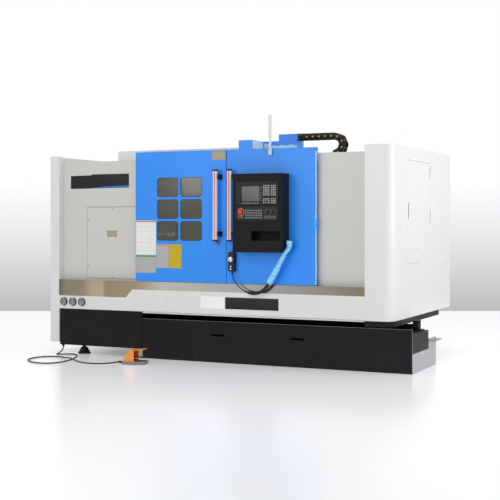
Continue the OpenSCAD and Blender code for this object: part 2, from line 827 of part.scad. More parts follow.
module hood_inside() {
    corner = hood_ridge[0] + hood_t * tan((hood_slope - visor_rise) / 2);
    polygon([[hood_back + hood_t / sin(hood_slope), switch_base_t], [corner, under_visor(corner)],
        [switch_len, under_visor(switch_len)], [switch_len, switch_base_t - 1],
        [hood_back + (hood_t + cos(hood_slope)) / sin(hood_slope), switch_base_t - 1]]);
}
module foot_switch_hood() {
    color("#f0962a") at_switch() difference() {
        along_y(-hood_w / 2, hood_w) hood_section();
        along_y(-hood_w / 2 + hood_t, hood_w - 2 * hood_t) hood_inside();
    }
}
module foot_pedal() {
    color("#f0962a") at_switch() {
        block([pedal_axis[0] - 4, switch_len / 2 - 26], [-pedal_w / 2, pedal_w / 2],
            [pedal_axis[1] + 2, pedal_axis[1] + 2 + pedal_t]);
        bar_y([pedal_axis[0], -pedal_w / 2, pedal_axis[1]], pedal_pin_d + 6, pedal_w);
        bar_y([pedal_axis[0], -pedal_w / 2 - lug_t, pedal_axis[1]], pedal_pin_d, pedal_w + 2 * lug_t);
    }
}

// Foot switch cord on the floor, with a loop that crosses itself in a low hump
foot_route = [[145, 25, 69], [145, 23.5, 56], [145.5, 12, 40], [149, -14, 24], [156, -70, 9],
    [170, -122, 6.5], [215, -110, 6.5],
    [290, -60, 6.5], [360, -75, 6.5], [410, -125, 6.5], [455, -200, 6.5], [500, -300, 6.5], [543, -429, 6.5],
    [562, -535, 6.5], [558, -650, 6.5], [503, -735, 6.5], [406, -758, 6.5], [295, -716, 6.5],
    [195, -628, 6.5], [143, -510, 6.5], [150, -400, 6.5], [205, -315, 6.5], [300, -290, 6.5],
    [415, -338, 9], [490, -390, 17], [543, -429, 20.5], [600, -470, 16], [668, -510, 8], [785, -568, 6.5],
    [880, -579, 6.5], [960, -555, 6.5], [1028, -474, 8], [1072, -435.5, 14]];
switch_gland_reach = switch_len / 2 + switch_gland_len + 2 * slide_gap;
switch_gland_end = [switch_pos[0] - switch_gland_reach * cos(switch_turn),
    switch_pos[1] - switch_gland_reach * sin(switch_turn), switch_gland_z];
module foot_cord() {
    path = smooth_route(concat(foot_route, [switch_gland_end]), 2);
    color("#1a1a1c") placed()
        swept_tube(path, [for (p = path) foot_cord_d / 2], 8, function (t) level_side(t));
}

// Drag chain over the roof: links with side plates in two layers, cross bars and pins
chain_y = 300;
chain_z_low = roof_top + link_h / 2;
chain_z_up = chain_z_low + 2 * chain_bend_r;
chain_reach = 613;
chain_x = x_seam + chain_reach;
chain_run = upper_links * link_pitch;
chain_arc = PI * chain_bend_r;
bend_links = round(chain_arc / link_pitch);
chain_links = upper_links + bend_links;
plate_t = 6;
pin_d = 18;
bar_len = 24;
bar_t = 4;
pin_head = 2;
link_end = link_pitch / 2 - 3;
bar_inset = 1;
function bend_angle(s) = (s - chain_run) / chain_bend_r * 180 / PI;
function chain_at(s) = s < chain_run ? [chain_x + s, chain_z_up]
    : s < chain_run + chain_arc ? [chain_x + chain_run + chain_bend_r * sin(bend_angle(s)),
        chain_z_low + chain_bend_r + chain_bend_r * cos(bend_angle(s))]
    : [chain_x + chain_run - (s - chain_run - chain_arc), chain_z_low];
module at_link(i) {
    a = chain_at(i * link_pitch);
    b = chain_at((i + 1) * link_pitch);
    translate(a) rotate(atan2(b[1] - a[1], b[0] - a[0])) children();
}
function oval_points(c, from, to) = [for (i = [0 : 8])
    c + [link_end * cos(from + (to - from) * i / 8), link_h / 2 * sin(from + (to - from) * i / 8)]];
function link_len(i) = norm(chain_at((i + 1) * link_pitch) - chain_at(i * link_pitch));
module link_side(i) {
    far = oval_points([link_len(i), 0], -90, 90);
    near = i > 0 ? oval_points([0, 0], 90, 270) : [[0, link_h / 2], [0, -link_h / 2]];
    at_link(i) polygon(concat(far, near));
}
module drag_chain() {
    color("#232426") placed() translate([0, chain_y, 0]) {
        for (i = [0 : chain_links - 1]) {
            outer = chain_w / 2 - (plate_t + slide_gap) * (i % 2);
            for (y = [-outer, outer - plate_t])
                along_y(y, plate_t) link_side(i);
            along_y(-outer + plate_t / 2, 2 * outer - plate_t) at_link(i)
                for (side = [-link_h / 2 + bar_inset, link_h / 2 - bar_inset - bar_t])
                    translate([(link_len(i) - bar_len) / 2, side]) square([bar_len, bar_t]);
        }
        for (i = [1 : chain_links - 1])
            for (y = [-chain_w / 2 - pin_head, chain_w / 2 - 2 * plate_t])
                bar_y([chain_at(i * link_pitch)[0], y, chain_at(i * link_pitch)[1]],
                    pin_d, 2 * plate_t + pin_head);
        end = chain_at(chain_links * link_pitch);
        block([end[0] - 20, end[0] + 20], [-chain_w / 2 + 1, chain_w / 2 - 1], [roof_top, end[1]]);
    }
}

// Door tray: a sheet with round upright edges, folded back all round
module tray_plan(w, d, r) {
    translate([r, 0]) square([w - 2 * r, d]);
    translate([0, r]) square([w, d - r]);
    for (x = [r, w - r])
        translate([x, r]) circle(r);
}
shoe_w = 80;
shoe_inset = 160;
shoe_y = [12, 40];
top_shoe_reach = 60;
module door_tray(w) {
    difference() {
        linear_extrude(door_h) tray_plan(w, door_depth, door_edge_r);
        translate([sheet, sheet, sheet]) linear_extrude(door_h - 2 * sheet)
            tray_plan(w - 2 * sheet, door_depth, door_edge_r - sheet);
    }
}
module lower_shoe(x) {
    difference() {
        block([x - shoe_w / 2, x + shoe_w / 2], shoe_y, [shelf_top + 12, door_foot]);
        block([x - shoe_w, x + shoe_w], [rail_y[0] - slide_gap, rail_y[1] + slide_gap],
            [shelf_top, shelf_top + rail_h + slide_gap]);
    }
}
module top_shoe(x) {
    difference() {
        block([x - shoe_w / 2, x + shoe_w / 2], [sheet, top_shoe_reach],
            [top_rail_z[0] - 15, top_rail_z[1] + 15]);
        block([x - shoe_w, x + shoe_w], [top_rail_y[0] - slide_gap, panel_recess],
            [top_rail_z[0] - slide_gap, top_rail_z[1] + slide_gap]);
    }
}
left_tray_w = left_door_w - leaf_gap / 2;
window_pitch_x = window_w + window_bar;
window_pitch_z = window_h + window_bar;
window_area_w = 2 * window_w + window_bar;
window_area_h = 3 * window_h + 2 * window_bar;
module left_door_panel() {
    color("#3891f4") placed() {
        difference() {
            translate([x_door, 0, door_foot]) door_tray(left_tray_w);
            for (i = [0 : 1])
                for (k = [0 : 2])
                    translate([i * window_pitch_x, 0, k * window_pitch_z])
                        front_plate([x_door + window_x, x_door + window_x + window_w],
                            [door_foot + window_z, door_foot + window_z + window_h], -1, sheet + 2,
                            window_r);
        }
        for (x = [x_door + shoe_inset, x_seam - shoe_inset])
            lower_shoe(x);
        top_shoe(x_seam - 100);
    }
}
pane_lap = 18;
module left_door_window() {
    color("#20303c", 0.8) placed() front_plate(
        [x_door + window_x - pane_lap, x_door + window_x + window_area_w + pane_lap],
        [door_foot + window_z - pane_lap, door_foot + window_z + window_area_h + pane_lap],
        sheet, pane_t, 12);
}
module right_door_panel() {
    color("#3891f4") placed() {
        translate([x_seam + leaf_gap / 2, 0, door_foot]) door_tray(right_door_w - leaf_gap / 2);
        for (x = [x_seam + shoe_inset, x_door_end - shoe_inset])
            lower_shoe(x);
        top_shoe(x_seam + 100);
    }
}

// Door handle: a flat bar on two stand-off brackets, with an end cap on each end
cap_len = 26;
cap_grow = 2;
bracket_h = 40;
bracket_w = 28;
bracket_inset = 45;
module upright_bar(x, w, t, z0, len) {
    translate([x - w / 2, -handle_gap - t, z0]) linear_extrude(len) round_rect(w, t, 7);
}
module door_handle(x) {
    z0 = door_foot + handle_z;
    upright_bar(x, handle_w, handle_t, z0, handle_len);
    for (z = [z0, z0 + handle_len - cap_len])
        upright_bar(x, handle_w + 2 * cap_grow, handle_t + cap_grow, z, cap_len);
    for (z = [z0 + bracket_inset, z0 + handle_len - bracket_inset - bracket_h])
        block([x + handle_w / 2 - 12, x + handle_w / 2 - 12 + bracket_w],
            [-handle_gap - handle_t + 6, 0], [z, z + bracket_h]);
}
module left_door_handle() {
    color("#e9e6e2") placed() door_handle(x_seam - left_handle_x);
}
module right_door_handle() {
    color("#e9e6e2") placed() door_handle(x_seam + right_handle_x);
}

// Control box on the right door, with a pocket, a cut lower corner and the cord's side entry
box_x0 = x_seam + box_x;
box_x1 = box_x0 + box_w;
box_z1 = door_top - box_drop;
box_z0 = box_z1 - box_h;
box_face = -box_depth;
box_cut = 50;
unit_side = 36;
unit_head = 74;
panel_gap = 12;
unit_x = box_x0 + unit_side;
unit_z = box_z1 - unit_head - unit_h;
panel_z = unit_z - panel_gap - panel_h;
unit_t = 6;
unit_face = box_face - unit_t;
pocket_x = box_x1 - 22 - pocket_w;
pocket_z = box_z0 + 106;
entry_pos = [box_x1 + 36, -80, box_z0 + 78];
entry_d = 54;
button_depth = 15;
estop_stem_d = 22;
knob_stem_d = 10;
estop_at = [unit_x + 50, panel_z + 75];
stop_at = [unit_x + 31, panel_z + 28];
start_at = [unit_x + 61, panel_z + 28];
feed_at = [unit_x + 312, panel_z + 79];
speed_at = [unit_x + 366, panel_z + 79];
module button_holes(front, depth) {
    for (h = [[estop_at, estop_stem_d + 2 * slide_gap], [start_at, button_d + 2 * slide_gap],
        [stop_at, button_d + 2 * slide_gap], [feed_at, knob_stem_d + 2 * shaft_gap],
        [speed_at, knob_stem_d + 2 * shaft_gap]])
        bar_y([h[0][0], front, h[0][1]], h[1], depth);
}
module control_box() {
    color("#26282a") placed() {
        difference() {
            along_y(box_face, box_depth) polygon([[box_x0, box_z0], [box_x1 - box_cut, box_z0],
                [box_x1, box_z0 + box_cut], [box_x1, box_z1], [box_x0, box_z1]]);
            block([pocket_x, pocket_x + pocket_w], [box_face - 1, box_face + pocket_depth],
                [pocket_z, pocket_z + pocket_h]);
            block([box_x1 - 47, box_x1 - 45], [box_face - 1, box_face + 1.5], [box_z0 + 60, box_z1 - 4]);
            block([box_x1 - 12, box_x1 + 1], [box_face + 50, box_face + 62], [box_z0 + 200, box_z0 + 330]);
            button_holes(box_face - 1, button_depth + 1);
        }
        bar_z(entry_pos, entry_d, 34);
        block([box_x1, entry_pos[0]], [entry_pos[1] - 20, entry_pos[1] + 20],
            [entry_pos[2] + 6, entry_pos[2] + 28]);
    }
}

// Operator unit with its screen opening, and the machine panel under it
screen_x = [unit_x + 54, unit_x + 238];
screen_z = [unit_z + 31, unit_z + 173];
ring_d = 62;
ring_t = 5;
module operator_panel() {
    color("#313437") placed() {
        difference() {
            front_plate([unit_x, unit_x + unit_w], [unit_z, unit_z + unit_h], unit_face, unit_t, 6);
            front_plate(screen_x, screen_z, unit_face - 1, unit_t + 2, 5);
        }
        difference() {
            union() {
                front_plate([unit_x, unit_x + unit_w], [panel_z, panel_z + panel_h], unit_face, unit_t, 6);
                bar_y([estop_at[0], unit_face - ring_t, estop_at[1]], ring_d, ring_t + 1);
            }
            button_holes(unit_face - ring_t - 1, unit_t + ring_t + 2);
        }
    }
}
module screen() {
    color("#59605a") placed() front_plate([screen_x[0] + slide_gap, screen_x[1] - slide_gap],
        [screen_z[0] + slide_gap, screen_z[1] - slide_gap], box_face - 3, 3, 5);
}

// Keys: fields of small blocks on both plates
key_t = 3;
digit_keys_x = 271;
edit_keys_x = 349;
upper_keys_z = 84;
lower_keys_z = 14;
key_size = [13.5, 12.5];
upper_pitch = [17, 16.5];
lower_pitch = [17, 17];
module key_field(x0, z0, cols, rows, pitch, size) {
    for (i = [0 : cols - 1])
        for (k = [0 : rows - 1])
            block([x0 + i * pitch[0], x0 + i * pitch[0] + size[0]], [unit_face - key_t, unit_face],
                [z0 + k * pitch[1], z0 + k * pitch[1] + size[1]]);
}
module keys() {
    color("#d4d6d6") placed() {
        key_field(unit_x + digit_keys_x, unit_z + upper_keys_z, 4, 6, upper_pitch, key_size);
        key_field(unit_x + edit_keys_x, unit_z + upper_keys_z, 3, 6, upper_pitch, key_size);
        key_field(unit_x + digit_keys_x, unit_z + lower_keys_z, 4, 3, lower_pitch, key_size);
        key_field(unit_x + edit_keys_x, unit_z + lower_keys_z, 3, 3, lower_pitch, key_size);
        key_field(unit_x + 58, unit_z + 12, 7, 1, [25.5, 17], [18, 9]);
        key_field(unit_x + 244, unit_z + 36, 1, 6, [17, 23], [9, 14]);
        key_field(unit_x + 92, panel_z + 16, 8, 4, [22, 21.5], [16.5, 16]);
        key_field(unit_x + 286, panel_z + 16, 6, 2, [19, 15], [14, 11]);
    }
}

// Push buttons and knobs: a stem in its hole and a head in front of the panel
estop_travel = 6;
estop_head_t = 14;
button_head_t = 6;
stem_in = 12;
module turned_front(at, profile) {
    translate([at[0], unit_face, at[1]]) rotate([90, 0, 0]) rotate_extrude() polygon(profile);
}
module emergency_stop() {
    lift = ring_t + estop_travel + 2;
    color("#d8232a") placed() turned_front(estop_at, [[0, -stem_in + estop_travel],
        [estop_stem_d / 2, -stem_in + estop_travel], [estop_stem_d / 2, lift], [estop_d / 2, lift + 2],
        [estop_d / 2, lift + 6], [estop_d / 2 - 7, lift + estop_head_t], [0, lift + estop_head_t + 2]]);
}
module push_button(at) {
    turned_front(at, [[0, -stem_in], [button_d / 2, -stem_in], [button_d / 2, button_head_t - 1],
        [button_d / 2 - 1, button_head_t], [0, button_head_t]]);
}
module start_button() {
    color("#2fae4a") placed() push_button(start_at);
}
module stop_button() {
    color("#d8232a") placed() push_button(stop_at);
}
knob_t = 18;
module override_knob(at) {
    turned_front(at, [[0, -stem_in], [knob_stem_d / 2, -stem_in], [knob_stem_d / 2, slide_gap],
        [knob_d / 2, slide_gap], [knob_d / 2, 4], [knob_d / 2 - 5, 6], [knob_d / 2 - 6, knob_t],
        [0, knob_t]]);
    block([at[0] - 3, at[0] + 3], [unit_face - knob_t - 2, unit_face - 5],
        [at[1] - knob_d / 2 + 5, at[1] + knob_d / 2 - 1]);
}
module feed_knob() {
    color("#1f2022") placed() override_knob(feed_at);
}
module speed_knob() {
    color("#1f2022") placed() override_knob(speed_at);
}

// Hand pulse unit on two magnets at the control box's lower left, and its wheel
pulse_x = x_seam + 40;
pulse_z = door_foot + 112;
magnet_t = 2;
pulse_face = -magnet_t - pulse_t;
pulse_mid = pulse_x + pulse_w / 2;
wheel_at = [pulse_mid, pulse_z + 113];
wheel_t = 12;
selector_d = 16;
module handwheel_unit() {
    color("#2a2c2f") placed() {
        difference() {
            front_plate([pulse_x, pulse_x + pulse_w], [pulse_z, pulse_z + pulse_h], pulse_face, pulse_t, 14);
            bar_y([wheel_at[0], pulse_face - 1, wheel_at[1]], knob_stem_d + 2 * shaft_gap, stem_in + 4);
        }
        for (z = [pulse_z + 45, pulse_z + pulse_h - 45])
            bar_y([pulse_mid, -magnet_t, z], 40, magnet_t);
        for (z = [pulse_z + 23, pulse_z + 47])
            bar_y([pulse_mid, pulse_face - 10, z], selector_d, 10);
    }
}
module handwheel() {
    color("#c4c7ca") placed() translate([wheel_at[0], pulse_face, wheel_at[1]]) rotate([90, 0, 0]) {
        rotate_extrude() polygon([[0, -stem_in], [knob_stem_d / 2, -stem_in], [knob_stem_d / 2, slide_gap],
            [pulse_wheel_d / 2, slide_gap], [pulse_wheel_d / 2, wheel_t - 2],
            [pulse_wheel_d / 2 - 2, wheel_t], [0, wheel_t]]);
        translate([0, pulse_wheel_d / 2 - 9, wheel_t]) cylinder(d = 9, h = 10);
    }
}

// Hand pulse cord: thin lead, thick sleeve and the film wrap, as points with a radius each
pulse_route = [[2050, -23, 854.4, 5], [2052, -27, 828, 5], [2066, -35, 792, 5], [2092, -42, 756, 5],
    [2127, -46, 722, 5], [2172, -50, 690, 5], [2225, -54, 668, 7], [2280, -58, 660, 12],
    [2335, -62, 668, 12], [2385, -66, 694, 12], [2430, -70, 738, 15], [2470, -74, 798, 18],
    [2510, -77, 864, 20], [2558, -79, 948, 22], [2602, -80, 1024, 23], [2634, -80, 1066, 23],
    [2646, -80, 1092, 22], [2648, -80, 1106, 22], [2648, -80, 1115.2, 22]];
module handwheel_cord() {
    path = smooth_route(pulse_route, 2);
    color("#5ac8ff") placed() swept_tube([for (p = path) [p[0], p[1], p[2]]], [for (p = path) p[3]],
        10, function (t) [0, 1, 0]);
}

// Signal lamp in front of the right door's top edge
lamp_y = -20;
lamp_foot = door_top - 60;
lamp_base_d = 35;
lamp_base_h = 50;
lamp_pole_d = 22;
lamp_pole_h = 120;
lamp_cap_h = 6;
module signal_lamp() {
    light_h = lamp_h - lamp_base_h - lamp_pole_h - lamp_cap_h;
    at = [x_seam + lamp_x, lamp_y, lamp_foot];
    color("#e8eaec") placed() {
        bar_z(at, lamp_base_d, lamp_base_h);
        bar_z(at + [0, 0, lamp_base_h], lamp_pole_d, lamp_pole_h);
        bar_z(at + [0, 0, lamp_base_h + lamp_pole_h], lamp_d, light_h);
        bar_z(at + [0, 0, lamp_h - lamp_cap_h], lamp_d + 2, lamp_cap_h);
        block([at[0] - 12, at[0] + 12], [lamp_y, 0], [lamp_foot + 6, lamp_foot + 44]);
    }
}

// Cable duct: the upright box on the door, a cross duct behind it and the chain's end box
duct_x = x_seam + 128;
cross_front = chain_y - chain_w / 2 - 5;
chain_box_w = 189;
module cable_duct() {
    color("#3891f4") placed() {
        block([duct_x, duct_x + duct_w], [0, duct_depth], [door_top, door_top + duct_h]);
        block([duct_x + duct_w, chain_x], [cross_front, duct_depth], [door_top + 5, door_top + duct_h]);
        block([chain_x - chain_box_w, chain_x], [cross_front, duct_depth],
            [door_top + 5, chain_z_up + link_h / 2]);
    }
}

// Spindle with its nose flange and pulley, and the through bore
module spindle() {
    color("#c2c5c8") placed() difference() {
        union() {
            bar_x([pulley_x, spindle_y, spindle_z], spindle_d, chuck_x - pulley_x);
            bar_x([pulley_x, spindle_y, spindle_z], pulley_d, pulley_w);
            bar_x([head_end + cap_t + slide_gap, spindle_y, spindle_z], nose_d,
                nose_len - cap_t - slide_gap);
        }
        bar_x([pulley_x - 1, spindle_y, spindle_z], spindle_bore, chuck_x - pulley_x + 2);
    }
}
module motor_pulley() {
    color("#c2c5c8") placed() {
        bar_x([pulley_x, motor_y, motor_z], motor_pulley_d, pulley_w);
        bar_x([pulley_x, motor_y, motor_z], 48, motor_x - slide_gap - pulley_x);
    }
}

// Chuck with three guided jaws; local X is the spindle axis and Z the first jaw's way
jaw_key_w = jaw_w / 2;
jaw_key_t = 22;
jaw_span = [45, 110];
module on_spindle() {
    placed() translate([0, spindle_y, spindle_z]) children();
}
module chuck_body() {
    color("#7d8287") on_spindle() difference() {
        union() {
            bar_x([chuck_x, 0, 0], chuck_d, chuck_len - 8);
            translate([chuck_face - 8, 0, 0]) rotate([0, 90, 0])
                cylinder(d1 = chuck_d, d2 = chuck_d - 12, h = 8);
        }
        bar_x([chuck_x - 1, 0, 0], spindle_bore, chuck_len + 2);
        for (a = [0, 120, 240])
            rotate([a, 0, 0]) block([chuck_face - jaw_key_t - slide_gap, chuck_face + 1],
                [-jaw_key_w / 2 - slide_gap, jaw_key_w / 2 + slide_gap], [0, chuck_d]);
    }
}
module chuck_jaw(a) {
    color("#55595d") on_spindle() rotate([a, 0, 0]) {
        block([chuck_face - jaw_key_t, chuck_face + slide_gap + 1], [-jaw_key_w / 2, jaw_key_w / 2],
            jaw_span);
        block([chuck_face + slide_gap, chuck_face + jaw_len / 2], [-jaw_w / 2, jaw_w / 2], jaw_span);
        block([chuck_face + slide_gap, chuck_face + jaw_len], [-jaw_w / 2, jaw_w / 2],
            [jaw_span[0] + 22, jaw_span[1]]);
    }
}
module chuck_jaw_1() {
    chuck_jaw(0);
}
module chuck_jaw_2() {
    chuck_jaw(120);
}
module chuck_jaw_3() {
    chuck_jaw(240);
}

// Feed screw between the guideways
module feed_screw() {
    color("#b5b8bb") placed() on_slope()
        bar_x([ways_x, 0, screw_v], screw_d, bed_end - ways_x - slide_gap);
}

// Saddle on the guideways, with the nut of the feed screw
saddle_u = [-330, 400];
shoe_depth = 30;
saddle_v = [way_h + slide_gap, way_h + slide_gap + saddle_t];
saddle_end = saddle_x + saddle_len;
guide_shoe_w = 30;
guide_shoe_inset = 2;
guide_shoe_u = way_w / 2 + slide_gap + guide_shoe_w / 2;
module way_shoes(x) {
    for (way = [-way_gauge / 2, way_gauge / 2])
        for (u = [way - guide_shoe_u, way + guide_shoe_u])
            block(x, [u - guide_shoe_w / 2, u + guide_shoe_w / 2],
                [way_h - shoe_depth, way_h + slide_gap + 1]);
}
module saddle() {
    color("#8b9196") placed() on_slope() {
        block([saddle_x, saddle_end], saddle_u, saddle_v);
        way_shoes([saddle_x + guide_shoe_inset, saddle_end - guide_shoe_inset]);
        difference() {
            block([saddle_x + 150, saddle_end - 150], [-45, 45], [screw_v - 25, saddle_v[0] + 1]);
            bar_x([saddle_x, 0, screw_v], screw_d + 2 * slide_gap, saddle_len);
        }
    }
}

// Cross slide with the turret housing; it moves down the slope to the spindle axis
cross_v = [saddle_v[1] + slide_gap, saddle_v[1] + slide_gap + cross_t];
cross_low = 230;
cross_high = 140;
cross_u = [turret_u - cross_low, turret_u + cross_high];
housing_x = [saddle_x + 90, saddle_end - 60];
housing_r = 120;
module cross_slide() {
    color("#9aa0a5") placed() on_slope() {
        block([housing_x[0], saddle_end - 20], cross_u, cross_v);
        block(housing_x, [turret_u - housing_r, turret_u + housing_r], [cross_v[1] - 1, centre_h]);
        bar_x([housing_x[0], turret_u, centre_h], 2 * housing_r, housing_x[1] - housing_x[0]);
    }
}

// Turret disc with one flat for each station, and holders with tools at every second one
holder = [70, 46, 40];
tool_w = 16;
turret_x = housing_x[0] - slide_gap - turret_t;
module turret_disc() {
    apothem = turret_r * cos(180 / stations);
    color("#6c7176") placed() on_slope() translate([turret_x, turret_u, centre_h]) {
        rotate([0, 90, 0]) rotate([0, 0, 180 / stations])
            cylinder(r = turret_r, h = turret_t, $fn = stations);
        for (i = [0 : 2 : stations - 1])
            rotate([360 / stations * i, 0, 0]) {
                block([(turret_t - holder[0]) / 2, (turret_t + holder[0]) / 2],
                    [-holder[1] / 2, holder[1] / 2], [apothem - 2, apothem + holder[2] - 8]);
                block([turret_t / 2 - tool_w / 2, turret_t / 2 + tool_w / 2], [-tool_w / 2, tool_w / 2],
                    [apothem, apothem + holder[2]]);
            }
    }
}

// Tailstock on the same guideways, and its quill with a centre
tail_r = 110;
tail_end = tail_x + tail_len;
quill_out = 60;
centre_len = 80;
module tailstock() {
    color("#8b9196") placed() on_slope() difference() {
        union() {
            block([tail_x, tail_end], [saddle_u[0], -saddle_u[0]], saddle_v);
            way_shoes([tail_x + guide_shoe_inset, tail_end - guide_shoe_inset]);
            block([tail_x, tail_end], [-tail_r, tail_r], [saddle_v[1] - 1, centre_h]);
            bar_x([tail_x, 0, centre_h], 2 * tail_r, tail_len);
        }
        bar_x([tail_x - 1, 0, centre_h], quill_d + 2 * shaft_gap, tail_len + 2);
    }
}
module tailstock_quill() {
    color("#c2c5c8") placed() on_slope() translate([tail_x - quill_out, 0, centre_h]) {
        rotate([0, 90, 0]) cylinder(d = quill_d, h = tail_len + quill_out - 10);
        translate([-20, 0, 0]) rotate([0, 90, 0]) cylinder(d = 60, h = 21);
        translate([-centre_len, 0, 0]) rotate([0, 90, 0]) cylinder(d1 = 2, d2 = 50, h = centre_len - 19);
    }
}

// Coolant tank on the floor: open trough with a taller right end and the pull handle
tank_wall = 4;
tank_y0 = 4;
end_plate_h = 260;
end_plate_y = [tank_depth - 241, tank_depth];
pull_z = 241;
pull_d = 16;
pull_y = [tank_depth - 206, tank_depth - 36];
module coolant_tank() {
    color("#a5a7ac") placed() {
        difference() {
            block([tank_x, x_tank_end], [tank_y0, tank_depth], [0, tank_h]);
            block([tank_x + tank_wall, x_tank_end - tank_wall], [tank_y0 + tank_wall, tank_depth - tank_wall],
                [tank_wall, tank_h + 1]);
        }
        block([x_tank_end - tank_wall, x_tank_end], end_plate_y, [tank_h - 1, end_plate_h]);
        for (y = pull_y)
            bar_x([x_tank_end - 1, y, pull_z], pull_d - 3, pull_reach - pull_d / 2 + 1);
        bar_y([x_tank_end + pull_reach - pull_d / 2, pull_y[0] - pull_d, pull_z], pull_d,
            pull_y[1] - pull_y[0] + 2 * pull_d);
    }
}

// Chip tray in the tank: black front with two hand slots, floor, walls and the pump box
tray_y = [0, tank_depth - 249];
tray_t = 3;
tray_floor = tank_h - 60;
tray_x = tank_x + 30;
tray_wall_top = tray_front_h - 20;
left_slot = 741;
right_slot = 1543;
hand_slots_x = [tank_x + left_slot, tank_x + right_slot];
hand_slot_z = 245;
pump_box_x = x_tank_end - pump_box_len;
pump_box_top = 340;
module chip_tray() {
    color("#232527") placed() {
        difference() {
            block([tank_x, x_tank_end], [tray_y[0], tank_y0], [0, tray_front_h]);
            for (x = hand_slots_x)
                front_plate([x, x + hand_slot_w], [hand_slot_z, hand_slot_z + hand_slot_h], -1,
                    tank_y0 + 2, hand_slot_h / 2 - 1);
        }
        block([tray_x, pump_box_x], [tank_y0 + tank_wall, tank_depth - tank_wall],
            [tray_floor, tray_floor + tray_t]);
        block([tray_x, tray_x + tray_t], [tank_y0 + tank_wall, tank_depth - tank_wall],
            [tray_floor, tray_wall_top]);
        block([tray_x, tray_x + tray_t], [tank_y0 - 1, tank_y0 + tank_wall + 1],
            [tank_h, tray_wall_top]);
        block([tray_x, pump_box_x + 1], [tank_depth - tank_wall - tray_t, tank_depth - tank_wall],
            [tray_floor, tray_wall_top]);
        block([pump_box_x, x_tank_end], [tank_y0 - 1, tray_y[1]], [tank_h, pump_box_top]);
        block([pump_box_x, pump_box_x + tray_t], [tank_y0 + tank_wall, tank_depth - tank_wall],
            [tray_floor, pump_box_top]);
    }
}
module coolant_pump() {
    at = [x_tank_end - 78, tray_y[1] - 102, pump_box_top];
    color("#3a3d40") placed() {
        translate([at[0] - 55, at[1] - 60, at[2]]) linear_extrude(12) round_rect(110, 120, 10);
        bar_z(at + [0, 0, 12], pump_d, pump_h - 22);
        bar_z(at + [0, 0, pump_h - 12], pump_d + 6, 12);
        block([at[0] - 30, at[0] + 30], [at[1] - 58, at[1] - 20], [at[2] + 30, at[2] + 65]);
    }
}

base_frame();
levelling_feet();
slant_bed();
headstock();
drive_motors();
drive_belt();
left_end_cover();
right_end_cover();
front_panels();
access_cover();
roof_and_rear();
trim_strip();
apron();
plinth_covers();
pressure_gauges();
door_rails();
splash_guard();
electrical_cabinet();
foot_switch_base();
foot_switch_hood();
foot_cord();
drag_chain();
left_door_panel();
left_door_window();
left_door_handle();
right_door_panel();
right_door_handle();
control_box();
operator_panel();
screen();
keys();
signal_lamp();
cable_duct();
handwheel_unit();
handwheel_cord();
emergency_stop();
start_button();
stop_button();
feed_knob();
speed_knob();
handwheel();
spindle();
chuck_body();
chuck_jaw_1();
chuck_jaw_2();
chuck_jaw_3();
motor_pulley();
feed_screw();
saddle();
cross_slide();
turret_disc();
tailstock();
tailstock_quill();
coolant_tank();
chip_tray();
coolant_pump();
side_door();
cabinet_door();
foot_pedal();
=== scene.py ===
# %% [markdown]
# # An enclosed turning lathe
# The solids of the machine come from a CAD model and already sit in one frame, in metres: +X runs
# along the spindle, +Y from the front to the rear, +Z up. This lesson adds what a CAD model lacks,
# which is paint, glass, screws, cords and the small fittings that make a machine look used and real.
# We keep the box of the bare model, so that the dressed one can be compared with it at the end.

# %% Load the frame
import json
import math
import random

import bmesh
import bpy
from mathutils import Matrix, Vector, noise

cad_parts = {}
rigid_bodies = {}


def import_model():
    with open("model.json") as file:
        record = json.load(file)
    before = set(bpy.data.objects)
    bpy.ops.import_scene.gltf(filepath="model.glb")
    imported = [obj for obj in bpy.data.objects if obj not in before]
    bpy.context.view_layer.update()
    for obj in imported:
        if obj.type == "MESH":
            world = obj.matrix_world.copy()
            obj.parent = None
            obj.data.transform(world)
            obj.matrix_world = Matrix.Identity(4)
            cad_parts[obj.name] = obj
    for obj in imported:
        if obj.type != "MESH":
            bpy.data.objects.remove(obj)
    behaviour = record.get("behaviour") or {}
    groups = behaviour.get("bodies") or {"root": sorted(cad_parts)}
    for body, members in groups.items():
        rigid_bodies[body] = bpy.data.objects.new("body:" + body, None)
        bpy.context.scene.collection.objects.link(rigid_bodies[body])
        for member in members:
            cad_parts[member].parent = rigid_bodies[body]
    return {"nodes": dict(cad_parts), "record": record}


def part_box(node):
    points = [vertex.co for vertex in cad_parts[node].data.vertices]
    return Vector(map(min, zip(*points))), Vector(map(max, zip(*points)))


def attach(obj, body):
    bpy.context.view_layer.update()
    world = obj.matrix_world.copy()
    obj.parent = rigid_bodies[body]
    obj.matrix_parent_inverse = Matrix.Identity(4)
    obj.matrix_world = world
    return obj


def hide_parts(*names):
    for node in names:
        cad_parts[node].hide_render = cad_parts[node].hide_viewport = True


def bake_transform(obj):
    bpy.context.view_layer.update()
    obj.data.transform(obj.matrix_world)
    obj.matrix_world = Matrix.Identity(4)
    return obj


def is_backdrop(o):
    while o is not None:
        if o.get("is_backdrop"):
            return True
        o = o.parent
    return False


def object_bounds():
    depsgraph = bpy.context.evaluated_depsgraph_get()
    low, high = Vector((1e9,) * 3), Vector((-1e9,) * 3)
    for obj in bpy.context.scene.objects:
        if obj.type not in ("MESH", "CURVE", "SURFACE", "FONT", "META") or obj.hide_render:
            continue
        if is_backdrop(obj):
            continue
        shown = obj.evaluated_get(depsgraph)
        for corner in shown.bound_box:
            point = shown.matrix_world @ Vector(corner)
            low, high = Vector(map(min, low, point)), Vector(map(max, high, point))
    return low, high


for old in list(bpy.data.objects):
    bpy.data.objects.remove(old)
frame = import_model()
nodes = frame["nodes"]
cad_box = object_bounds()
print("nodes:", len(nodes), "box:", [round(v, 3) for v in (*cad_box[0], *cad_box[1])])

